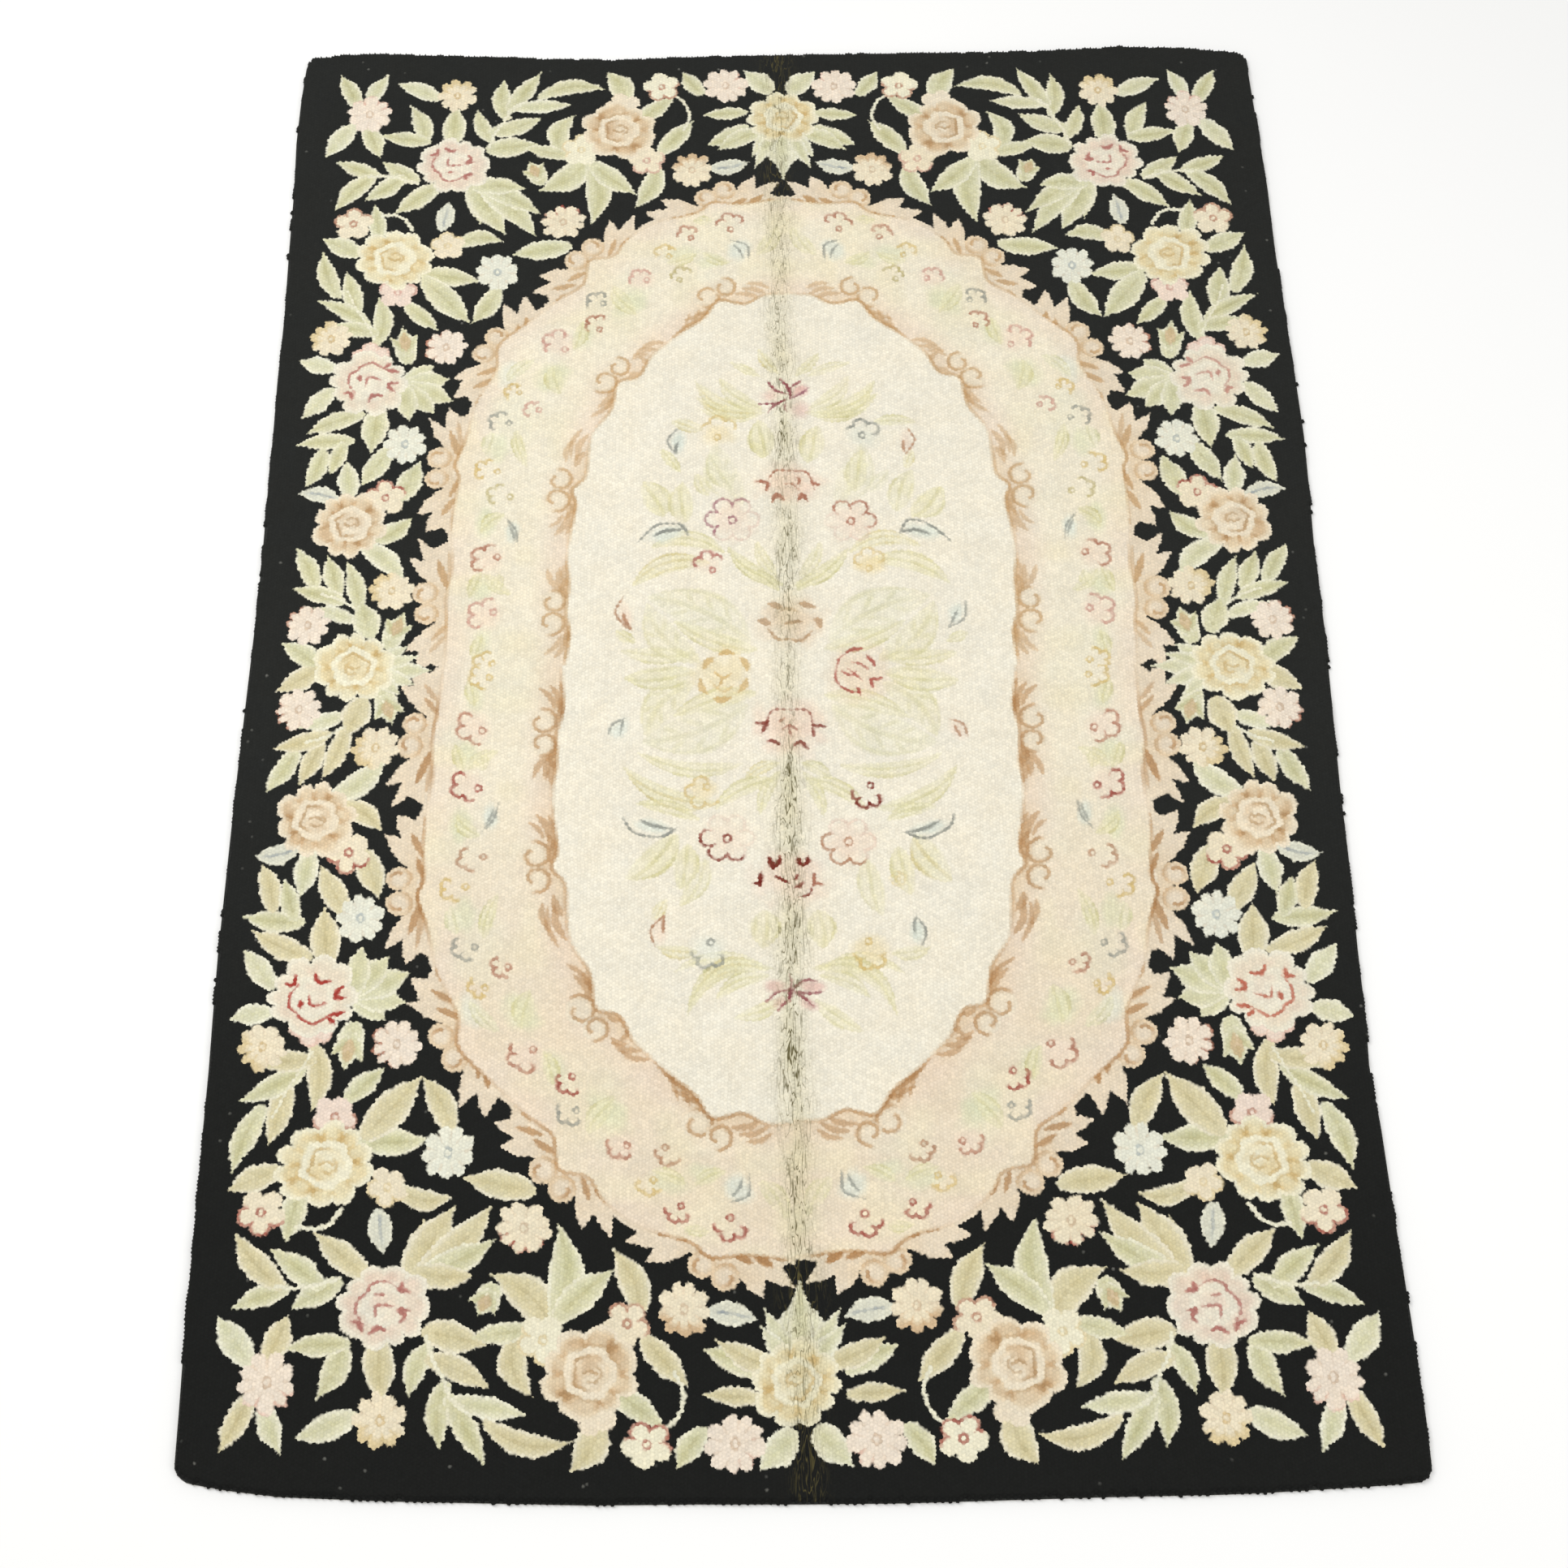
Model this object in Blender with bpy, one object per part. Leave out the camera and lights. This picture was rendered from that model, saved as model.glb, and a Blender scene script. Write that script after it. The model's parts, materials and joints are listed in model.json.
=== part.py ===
"""Hooked wool rug with a black floral border, a scrolled oval frame and an ivory centre.

One flat solid: loops hooked through a cotton ground, the ground's edge turned under as a hem.
Metres, +Z up. The origin is the middle of the flat underside, X runs across the rug and Y along it.
The outline is uneven as the real edges are, the top edge is rolled off all round, and a soft
ridge runs down the middle, where the rug was stored folded in half along its length.
"""

import bmesh
import bpy
import numpy as np

# Driving sizes
RUG_WIDTH = 1.224  # across the widest stretch
RUG_LENGTH = 1.872  # along the longest stretch
PILE_TOP = 0.0090  # height of the loops over the floor
EDGE_TOP = 0.0060  # height of the outermost row of loops
EDGE_ROLL = 0.0090  # how far in from the edge the pile is at full height
CORNER_RADIUS = 0.016

# How far each long edge stands in from half the width, by place along the rug (all in mm)
LONG_EDGES = [
    # along, left_in, right_in
    (-930, 4, 5),
    (-850, 3, 4),
    (-750, 1, 6),
    (-650, 1, 9),
    (-550, 0, 11),
    (-485, 0, 15),
    (-430, -1, 12),
    (-350, -2, 11),
    (-250, -1, 8),
    (-150, 0, 7),
    (-50, 2, 4),
    (50, 4, 1),
    (150, 5, 1),
    (250, 4, -3),
    (320, 4, -5),
    (400, 3, -4),
    (500, 4, -2),
    (600, 2, 0),
    (700, 1, -1),
    (780, -2, 1),
    (850, -1, 3),
    (930, 3, 5),
]
# How far each short edge stands in from half the length, by place across the rug (all in mm)
SHORT_EDGES = [
    # across, far_in, near_in
    (-612, 16, 25),
    (-555, 8, 15),
    (-505, 8, 9),
    (-405, 12, 5),
    (-305, 17, 3),
    (-205, 20, 1),
    (-105, 15, 2),
    (0, 13, 2),
    (95, 11, 3),
    (195, 10, 6),
    (295, 9, 9),
    (395, 4, 11),
    (445, 0, 13),
    (545, 5, 19),
    (612, 14, 24),
]
# The fold's ridge, section by section along the rug (all in mm)
FOLD = [
    # along, centre, half_width, height
    (-930, 3, 26, 0.6),
    (-820, 2, 34, 1.6),
    (-650, 0, 38, 2.2),
    (-450, -2, 32, 1.7),
    (-300, 1, 30, 2.4),
    (-80, -1, 34, 2.7),
    (120, 2, 36, 2.6),
    (330, 0, 32, 2.1),
    (520, -4, 34, 2.3),
    (720, -2, 38, 2.0),
    (850, 0, 32, 1.3),
    (930, 2, 26, 0.5),
]
# Where the facets' lines run, in mm: in from a long edge, and out from the fold's middle
IN_FROM_LONG_EDGE = [0.0, 2.5, 5.5, 9.0, 16.0, 40.0, 120.0, 220.0, 330.0, 440.0]
OUT_FROM_FOLD = [90.0, 60.0, 38.0, 22.0, 10.0]
IN_FROM_SHORT_EDGE = [0.0, 2.5, 5.5, 9.0, 16.0, 30.0]
ROW_STEP = 0.070


def column(table, name_index, scale=0.001):
    """(places, values) of one named column of a table, in metres."""
    rows = np.array(table, float) * scale
    return rows[:, 0], rows[:, name_index]


def edge_in(table, name_index, at):
    """How far an edge stands in at a place, between the table's rows."""
    places, values = column(table, name_index)
    return np.interp(at, places, values)


def outline(across, along):
    """A point of the even rectangle, -1 to 1 both ways, moved onto the rug's uneven outline."""
    y_even = along * RUG_LENGTH / 2
    x_even = across * RUG_WIDTH / 2
    in_left = edge_in(LONG_EDGES, 1, y_even)
    in_right = edge_in(LONG_EDGES, 2, y_even)
    in_far = edge_in(SHORT_EDGES, 1, x_even)
    in_near = edge_in(SHORT_EDGES, 2, x_even)
    # A square corner is drawn in to a quarter circle
    from_x = (1 - abs(across)) * RUG_WIDTH / 2
    from_y = (1 - abs(along)) * RUG_LENGTH / 2
    u = max(0.0, 1 - from_x / CORNER_RADIUS)
    v = max(0.0, 1 - from_y / CORNER_RADIUS)
    pull_x = CORNER_RADIUS * u * (1 - np.sqrt(1 - v * v / 2))
    pull_y = CORNER_RADIUS * v * (1 - np.sqrt(1 - u * u / 2))
    # The edges' unevenness dies out towards the middle
    pull_x += across**4 * (in_right if across > 0 else in_left)
    pull_y += along**4 * (in_far if along > 0 else in_near)
    return x_even - np.sign(across) * pull_x, y_even - np.sign(along) * pull_y


def rolled(inward):
    """Height of the pile at a distance in from the edge: a quarter round from EDGE_TOP up to PILE_TOP."""
    t = np.clip(inward / EDGE_ROLL, 0, 1)
    return EDGE_TOP + (PILE_TOP - EDGE_TOP) * np.sqrt(1 - (1 - t) ** 2)


def ridge(x, y):
    """Height of the fold's ridge over the pile."""
    _, centre = column(FOLD, 1)
    _, half = column(FOLD, 2)
    places, height = column(FOLD, 3)
    c, w, h = (np.interp(y, places, v) for v in (centre, half, height))
    return h * np.exp(-(((x - c) / (0.62 * w)) ** 2))


def lines_across():
    """Where the facets' lines cut the width, from -1 to 1."""
    half = RUG_WIDTH / 2 * 1000
    right = sorted(
        {(half - d) / half for d in IN_FROM_LONG_EDGE}
        | {d / half for d in OUT_FROM_FOLD}
    )
    return [-v for v in reversed(right)] + [0.0] + right


def lines_along():
    """Where the facets' lines cut the length, from -1 to 1."""
    half = RUG_LENGTH / 2
    ends = [1 - d / 1000 / half for d in IN_FROM_SHORT_EDGE]
    count = int(round(2 * half * ends[-1] / ROW_STEP))
    middle = list(np.linspace(-ends[-1], ends[-1], count + 1))
    return [-v for v in ends[:-1]] + middle + ends[-2::-1]


def clear_scene():
    for obj in list(bpy.data.objects):
        bpy.data.objects.remove(obj, do_unlink=True)


def wool(name, colour, roughness):
    material = bpy.data.materials.new(name)
    material.use_nodes = True
    shader = material.node_tree.nodes["Principled BSDF"]
    shader.inputs["Base Color"].default_value = (*colour, 1.0)
    shader.inputs["Roughness"].default_value = roughness
    shader.inputs["Metallic"].default_value = 0.0
    return material


def make_rug():
    """A flat grid raised into a slab, whose top is then shaped row by row."""
    xs, ys = lines_across(), lines_along()
    bm = bmesh.new()
    bmesh.ops.create_grid(
        bm, x_segments=len(xs) - 1, y_segments=len(ys) - 1, size=0.5
    )
    floor_faces = list(bm.faces)
    for face in floor_faces:
        if face.normal.z > 0:
            face.normal_flip()
    raised = bmesh.ops.extrude_face_region(
        bm, geom=floor_faces, use_keep_orig=True
    )["geom"]
    top = {v for v in raised if isinstance(v, bmesh.types.BMVert)}
    step_x, step_y = 1.0 / (len(xs) - 1), 1.0 / (len(ys) - 1)
    for v in bm.verts:
        i = int(round((v.co.x + 0.5) / step_x))
        j = int(round((v.co.y + 0.5) / step_y))
        across, along = xs[i], ys[j]
        x, y = outline(across, along)
        if v in top:
            inward = min(
                (1 - abs(across)) * RUG_WIDTH / 2, (1 - abs(along)) * RUG_LENGTH / 2
            )
            lift = ridge(x, y) * min(1.0, inward / EDGE_ROLL)
            v.co = (x, y, rolled(inward) + lift)
        else:
            v.co = (x, y, 0.0)
    # The underside is one flat face
    under = [f for f in bm.faces if all(v not in top for v in f.verts)]
    bmesh.ops.dissolve_faces(bm, faces=under, use_verts=False)
    loose = [v for v in bm.verts if not v.link_faces]
    bmesh.ops.delete(bm, geom=loose, context="VERTS")
    # Centre the outline's box on the origin
    lo = [min(v.co[k] for v in bm.verts) for k in (0, 1)]
    hi = [max(v.co[k] for v in bm.verts) for k in (0, 1)]
    for v in bm.verts:
        v.co.x -= (lo[0] + hi[0]) / 2
        v.co.y -= (lo[1] + hi[1]) / 2
    bmesh.ops.recalc_face_normals(bm, faces=bm.faces)
    mesh = bpy.data.meshes.new("rug")
    bm.to_mesh(mesh)
    bm.free()
    mesh.shade_smooth()
    mesh.set_sharp_from_angle(angle=0.9)
    return mesh


clear_scene()
collection = bpy.data.collections.new("hooked_rug")
bpy.context.scene.collection.children.link(collection)
rug = bpy.data.objects.new("rug", make_rug())
rug.data.materials.append(wool("wool_pile", (0.60, 0.53, 0.40), 0.95))
collection.objects.link(rug)
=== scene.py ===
"""The looks of the hooked rug: looped wool pile in a floral design over a cotton ground.

The pile is real geometry: some 146,000 hooked loops in fifteen blocks, each loop a small mound with its own yarn
colour. The design is drawn loop by loop from named tables of leaves, flowers and scrolls, one quarter of the rug
repeated four times with the small differences that handwork has. Metres, +Z up, the CAD model's own frame.
"""
import json

import bpy
import numpy as np
from mathutils import Matrix

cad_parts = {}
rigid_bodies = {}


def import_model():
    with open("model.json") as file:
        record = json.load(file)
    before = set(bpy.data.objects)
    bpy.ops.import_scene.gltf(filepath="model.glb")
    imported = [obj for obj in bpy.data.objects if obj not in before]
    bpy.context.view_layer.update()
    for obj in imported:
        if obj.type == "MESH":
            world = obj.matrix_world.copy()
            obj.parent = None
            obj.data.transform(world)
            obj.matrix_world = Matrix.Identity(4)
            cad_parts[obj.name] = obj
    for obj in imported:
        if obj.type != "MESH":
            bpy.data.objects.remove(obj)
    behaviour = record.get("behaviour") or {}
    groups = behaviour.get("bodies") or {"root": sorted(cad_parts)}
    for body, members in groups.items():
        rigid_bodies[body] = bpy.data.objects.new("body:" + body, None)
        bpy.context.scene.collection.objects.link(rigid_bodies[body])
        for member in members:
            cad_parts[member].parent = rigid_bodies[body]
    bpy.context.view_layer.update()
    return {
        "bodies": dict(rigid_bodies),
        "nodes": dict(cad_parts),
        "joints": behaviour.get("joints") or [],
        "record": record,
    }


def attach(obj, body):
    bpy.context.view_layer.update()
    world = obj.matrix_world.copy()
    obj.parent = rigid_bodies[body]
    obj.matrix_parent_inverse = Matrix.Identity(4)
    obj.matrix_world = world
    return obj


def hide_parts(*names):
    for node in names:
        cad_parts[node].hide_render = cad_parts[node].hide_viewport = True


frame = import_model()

# ---------------------------------------------------------------- the rug's form, as in the CAD model
RUG_WIDTH = 1.224
RUG_LENGTH = 1.872
PILE_TOP = 0.0090
EDGE_TOP = 0.0060
EDGE_ROLL = 0.0090
CORNER_RADIUS = 0.016

# How far each long edge stands in from half the width, by place along the rug (all in mm)
LONG_EDGES = [
    # along, left_in, right_in
    (-930, 4, 5),
    (-850, 3, 4),
    (-750, 1, 6),
    (-650, 1, 9),
    (-550, 0, 11),
    (-485, 0, 15),
    (-430, -1, 12),
    (-350, -2, 11),
    (-250, -1, 8),
    (-150, 0, 7),
    (-50, 2, 4),
    (50, 4, 1),
    (150, 5, 1),
    (250, 4, -3),
    (320, 4, -5),
    (400, 3, -4),
    (500, 4, -2),
    (600, 2, 0),
    (700, 1, -1),
    (780, -2, 1),
    (850, -1, 3),
    (930, 3, 5),
]
# How far each short edge stands in from half the length, by place across the rug (all in mm)
SHORT_EDGES = [
    # across, far_in, near_in
    (-612, 16, 25),
    (-555, 8, 15),
    (-505, 8, 9),
    (-405, 12, 5),
    (-305, 17, 3),
    (-205, 20, 1),
    (-105, 15, 2),
    (0, 13, 2),
    (95, 11, 3),
    (195, 10, 6),
    (295, 9, 9),
    (395, 4, 11),
    (445, 0, 13),
    (545, 5, 19),
    (612, 14, 24),
]
# The fold's ridge, section by section along the rug (all in mm)
FOLD = [
    # along, centre, half_width, height
    (-930, 3, 26, 0.6),
    (-820, 2, 34, 1.6),
    (-650, 0, 38, 2.2),
    (-450, -2, 32, 1.7),
    (-300, 1, 30, 2.4),
    (-80, -1, 34, 2.7),
    (120, 2, 36, 2.6),
    (330, 0, 32, 2.1),
    (520, -4, 34, 2.3),
    (720, -2, 38, 2.0),
    (850, 0, 32, 1.3),
    (930, 2, 26, 0.5),
]


def column(table, name_index, scale=0.001):
    """(places, values) of one named column of a table, in metres."""
    rows = np.array(table, float) * scale
    return rows[:, 0], rows[:, name_index]


def edge_in(table, name_index, at):
    places, values = column(table, name_index)
    return np.interp(at, places, values)


def shifts():
    """What centred the CAD model's outline on its origin."""
    y = np.linspace(-RUG_LENGTH / 2, RUG_LENGTH / 2, 500)
    x = np.linspace(-RUG_WIDTH / 2, RUG_WIDTH / 2, 500)
    left = np.min(-RUG_WIDTH / 2 + edge_in(LONG_EDGES, 1, y))
    right = np.max(RUG_WIDTH / 2 - edge_in(LONG_EDGES, 2, y))
    near = np.min(-RUG_LENGTH / 2 + edge_in(SHORT_EDGES, 2, x))
    far = np.max(RUG_LENGTH / 2 - edge_in(SHORT_EDGES, 1, x))
    return (left + right) / 2, (near + far) / 2


SHIFT_X, SHIFT_Y = shifts()


def inward(x, y):
    """How far a place is in from the rug's edge, less than 0 outside it."""
    x, y = x + SHIFT_X, y + SHIFT_Y
    left = x + RUG_WIDTH / 2 - edge_in(LONG_EDGES, 1, y)
    right = RUG_WIDTH / 2 - edge_in(LONG_EDGES, 2, y) - x
    near = y + RUG_LENGTH / 2 - edge_in(SHORT_EDGES, 2, x)
    far = RUG_LENGTH / 2 - edge_in(SHORT_EDGES, 1, x) - y
    a, b = np.minimum(left, right), np.minimum(near, far)
    corner = CORNER_RADIUS - np.hypot(
        np.clip(CORNER_RADIUS - a, 0, None), np.clip(CORNER_RADIUS - b, 0, None)
    )
    return np.where((a < CORNER_RADIUS) & (b < CORNER_RADIUS), corner, np.minimum(a, b))


def rolled(inside_by):
    t = np.clip(inside_by / EDGE_ROLL, 0, 1)
    return EDGE_TOP + (PILE_TOP - EDGE_TOP) * np.sqrt(1 - (1 - t) ** 2)


def fold_at(y):
    """The ridge's centre, half width and height at a place along the rug."""
    _, centre = column(FOLD, 1)
    _, half = column(FOLD, 2)
    places, height = column(FOLD, 3)
    return tuple(np.interp(y + SHIFT_Y, places, v) for v in (centre, half, height))


def ridge(x, y):
    c, w, h = fold_at(y)
    return h * np.exp(-(((x + SHIFT_X - c) / (0.62 * w)) ** 2))


# ---------------------------------------------------------------- yarn colours
YARN = {
    # name: sRGB hex
    "black": "252624",
    "black_green": "1c2a24",
    "black_plum": "2a2328",
    "lint": "8d8c84",
    "leaf_rim": "e9e5cc",
    "leaf": "dcd9b8",
    "leaf_core": "c6c396",
    "leaf_rib": "a9a173",
    "pale_rim": "ebe8d2",
    "pale": "e2dfc3",
    "pale_core": "cdcba3",
    "blue_rim": "e6e4d0",
    "blue": "dad9c6",
    "blue_vein": "8a9298",
    "cream": "ece5ce",
    "pink": "ecd9c8",
    "rose_tint": "dcb3a0",
    "dusty_red": "a9675e",
    "deep_red": "8a2f26",
    "brown_red": "a0624c",
    "tan_rim": "ecdfc6",
    "tan": "c9a880",
    "tan_deep": "a27d52",
    "gold_rim": "eee8cd",
    "gold": "d9c391",
    "gold_deep": "bd9b60",
    "daisy_white": "e6e5d3",
    "daisy_pink": "eee0cd",
    "daisy_cream": "ebdfc3",
    "ring": "b89a7c",
    "band": "eee5ce",
    "halo": "f0cfba",
    "tan_halo": "e4ceb2",
    "rose_brown": "a9825c",
    "rose_gold": "cfae74",
    "rose_line": "a45246",
    "band_rose": "ecd7c4",
    "band_pink": "ebdac5",
    "band_green": "e4e3c9",
    "band_yellow": "ede3c2",
    "field": "efe8d5",
    "rose_rim": "ece6d2",
    "rose_pink": "e8dbc6",
    "rose_cream": "e9dfc8",
    "rose_red": "a85a49",
    "tan_body": "e7d7b9",
    "gold_body": "e9e0bd",
    "ghost_green": "e6e0b9",
    "ghost_vein": "cdc794",
    "ghost_grey": "e7e3c4",
    "ghost_grey_vein": "cdc99f",
    "ghost_olive": "cdbf86",
    "plum": "94606a",
    "dark_red": "6e2219",
    "field_warm": "f3ecd2",
    "line_olive": "b3a670",
    "line_grey": "868880",
    "line_black": "4a3230",
    "near_rim": "e8e1c8",
    "near_leaf": "ddd4b0",
    "near_core": "cfc498",
    "near_rib": "a89a6d",
    "brick": "b35a45",
    "bright_red": "9c241d",
    "band_near": "e8d8bf",
    "blush": "efdac5",
    "straw": "ebdaad",
    "mist": "dfe3d5",
    "sage_mist": "dddebb",
    "plum_deep": "7b2f39",
    "bow_pink": "e0ada4",
    "mist_pale": "e4e4d4",
    # painted shade of the fold, where its loops part
    "fold": "ccc59b",
    "cloth": "cbbd9b",
    "scroll": "e2ccab",
    "scroll_light": "e6d7bf",
    "scroll_near": "a8794a",
    "scroll_tan": "b58a58",
    "scroll_deep": "a47b4e",
    "olive": "b9b07a",
    "spray_green": "d5d8b4",
    "spray_grey": "c9cdb4",
    "line_blue": "8f9a9e",
    "line_pink": "c08a7c",
    "line_gold": "cdb06c",
    "line_brown": "a87a5c",
}


def rgb(name):
    h = YARN[name]
    return np.array([int(h[i : i + 2], 16) / 255 for i in (0, 2, 4)])


def smooth(lo, hi, v):
    t = np.clip((v - lo) / (hi - lo), 0, 1)
    return t * t * (3 - 2 * t)


def hashed(ix, iy, seed):
    """A fixed pseudo-random number from 0 to 1 for each whole-number place."""
    with np.errstate(over="ignore"):
        h = (
            ix.astype(np.int64) * np.int64(374761393)
            + iy.astype(np.int64) * np.int64(668265263)
            + np.int64(seed) * np.int64(982451653)
        ) & np.int64(0xFFFFFFFF)
        h = ((h ^ (h >> np.int64(13))) * np.int64(1274126177)) & np.int64(0xFFFFFFFF)
        h = (h ^ (h >> np.int64(16))) & np.int64(0xFFFFFF)
    return h / float(0xFFFFFF)


def noise(x, y, size, seed):
    """Smooth value noise from -1 to 1 with features about size across."""
    u, v = x / size, y / size
    i, j = np.floor(u), np.floor(v)
    f, g = u - i, v - j
    f, g = f * f * (3 - 2 * f), g * g * (3 - 2 * g)
    i, j = i.astype(np.int64), j.astype(np.int64)
    a, b = hashed(i, j, seed), hashed(i + 1, j, seed)
    c, d = hashed(i, j + 1, seed), hashed(i + 1, j + 1, seed)
    return ((a * (1 - f) + b * f) * (1 - g) + (c * (1 - f) + d * f) * g) * 2 - 1


class Cloth:
    """The places of the loops, in mm in one quarter's own axes, and the yarn each loop is hooked in."""

    def __init__(self, x, y):
        self.x, self.y = x, y
        self.colour = np.tile(rgb("black"), (len(x), 1))
        self.motif = np.zeros(len(x), bool)
        self.slim = 1.0

    def near(self, cx, cy, reach):
        return np.nonzero((abs(self.x - cx) < reach) & (abs(self.y - cy) < reach))[0]

    def hook(self, idx, colour, share=1.0, solid=True):
        """Hook the loops idx in a colour; share below 1 blends it with what is there."""
        share = np.broadcast_to(np.asarray(share, float), (len(idx),))[:, None]
        self.colour[idx] = self.colour[idx] * (1 - share) + colour * share
        if solid:
            self.motif[idx] = True


def blend(a, b, t):
    t = np.asarray(t)[..., None]
    return a * (1 - t) + b * t


LOOKS = {
    # look: rim, body, core, rib
    "sage": ("leaf_rim", "leaf", "leaf_core", "leaf_rib"),
    "pale": ("pale_rim", "pale", "pale_core", "leaf_core"),
    "blue": ("blue_rim", "blue", "blue", "blue_vein"),
    "near": ("near_rim", "near_leaf", "near_core", "near_rib"),
    "gold": ("gold_rim", "cream", "gold", "gold_deep"),
    "rosy": ("cream", "pink", "rose_tint", "line_pink"),
}


def leaf(c, bx, by, tx, ty, half, bend, look, belly=0.45, ribbed=True):
    """A leaf from its base to its tip, half wide either side of its rib, which bows by bend."""
    length = np.hypot(tx - bx, ty - by)
    ux, uy = (tx - bx) / length, (ty - by) / length
    idx = c.near((bx + tx) / 2, (by + ty) / 2, length / 2 + half + abs(bend) + 4)
    x, y = c.x[idx], c.y[idx]
    px, py = x - bx, y - by
    t = (px * ux + py * uy) / length
    s = -px * uy + py * ux - bend * 4 * t * (1 - t)
    ok = (t > -0.05) & (t < 1)
    power = np.log(0.5) / np.log(belly)
    tt = np.clip((t + 0.05) / 1.05, 1e-6, 1) ** power
    wide = c.slim * half * np.sin(np.pi * tt) ** (0.52 + 0.80 * np.clip(t, 0, 1))
    wide = wide + 1.1 * noise(x, y, 5.5, 31) * np.clip(wide / 4, 0, 1)
    ok &= abs(s) < wide
    idx, t, s, wide, x, y = (v[ok] for v in (idx, t, s, wide, x, y))
    rim, body, core, rib = (rgb(k) for k in LOOKS[look])
    r = abs(s) / np.maximum(wide, 1e-6)
    along = np.sin(np.pi * np.clip(t, 0, 1)) ** 0.6
    cloud = 0.6 + 0.5 * noise(x, y, 13, 32)
    col = blend(rim, body, smooth(0.95, 0.62, r))
    col = blend(col, core, np.clip(0.85 * smooth(0.72, 0.15, r) * along * cloud, 0, 1))
    if ribbed:
        veins = 0.5 + 0.5 * np.cos((t * length - abs(s) * 0.9) * 2 * np.pi / 9.5)
        col = blend(col, core, 0.35 * smooth(0.45, 1.0, veins) * smooth(0.9, 0.5, r) * along)
        line = smooth(2.2, 0.9, abs(s)) * smooth(0.04, 0.2, t) * smooth(0.9, 0.6, t)
        col = blend(col, rib, (0.8 if look == "blue" else 0.26) * line * (0.8 + 0.5 * noise(x, y, 9, 48)))
    c.hook(idx, col)


def stem(c, points, wide, colour="leaf_rim"):
    """A thin stem through its points."""
    p = np.array(points, float)
    mid, reach = p.mean(0), np.ptp(p, axis=0).max() / 2 + wide + 8
    idx = c.near(*((p.min(0) + p.max(0)) / 2), reach)
    d = to_line(c.x[idx], c.y[idx], p)[0]
    ok = d < wide / 2
    c.hook(idx[ok], rgb(colour))


def to_line(x, y, p):
    """Distance to a polyline, and how far along it (0 to 1) the nearest point is."""
    best, where = np.full(len(x), 1e9), np.zeros(len(x))
    seg = np.hypot(*(p[1:] - p[:-1]).T)
    total, done = seg.sum(), 0.0
    for (ax, ay), (bx, by), length in zip(p[:-1], p[1:], seg):
        t = np.clip(((x - ax) * (bx - ax) + (y - ay) * (by - ay)) / length**2, 0, 1)
        d = np.hypot(x - ax - t * (bx - ax), y - ay - t * (by - ay))
        nearer = d < best
        best[nearer] = d[nearer]
        where[nearer] = ((done + t * length) / total)[nearer]
        done += length
    return best, where


def curve(points, steps=6, closed=False):
    """A smooth curve through given points."""
    p = np.array(points, float)
    if closed:
        p = np.vstack([p[-1], p, p[:2]])
    else:
        p = np.vstack([2 * p[0] - p[1], p, 2 * p[-1] - p[-2]])
    out = []
    for a, b, c_, d in zip(p[:-3], p[1:-2], p[2:-1], p[3:]):
        for t in np.linspace(0, 1, steps, endpoint=False):
            out.append(
                0.5
                * (
                    2 * b
                    + (c_ - a) * t
                    + (2 * a - 5 * b + 4 * c_ - d) * t**2
                    + (3 * b - a - 3 * c_ + d) * t**3
                )
            )
    if not closed:
        out.append(p[-2])
    return np.array(out)


def inside(x, y, p):
    """Whether each place lies inside a closed outline."""
    ok = np.zeros(len(x), bool)
    ax, ay = p[:, 0], p[:, 1]
    bx, by = np.roll(ax, -1), np.roll(ay, -1)
    for x0, y0, x1, y1 in zip(ax, ay, bx, by):
        if y0 == y1:
            continue
        cross = (y0 > y) != (y1 > y)
        ok ^= cross & (x < (x1 - x0) * (y - y0) / (y1 - y0) + x0)
    return ok


def stroke(c, points, wide, colour, share=0.8, taper=True):
    """A tapered line of darker loops."""
    p = curve(points, 5) if len(points) > 2 else np.array(points, float)
    idx = c.near(*((p.min(0) + p.max(0)) / 2), np.ptp(p, axis=0).max() / 2 + wide + 3)
    d, t = to_line(c.x[idx], c.y[idx], p)
    w = wide / 2 * (np.sin(np.pi * np.clip(t, 0.03, 0.97)) ** 0.5 if taper else 1)
    a = share * smooth(w + 0.9, w - 0.9, d)
    ok = a > 0.02
    c.hook(idx[ok], rgb(colour), a[ok], solid=False)


ROSES = {
    # look: rim, body, shade, deep, line
    "pink": ("rose_rim", "rose_pink", "rose_tint", "rose_tint", "dusty_red"),
    "red": ("rose_rim", "rose_cream", "rose_tint", "rose_tint", "rose_red"),
    "tan": ("tan_rim", "tan_body", "tan", "tan_deep", None),
    "gold": ("gold_rim", "gold_body", "gold", "gold_deep", None),
}


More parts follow.
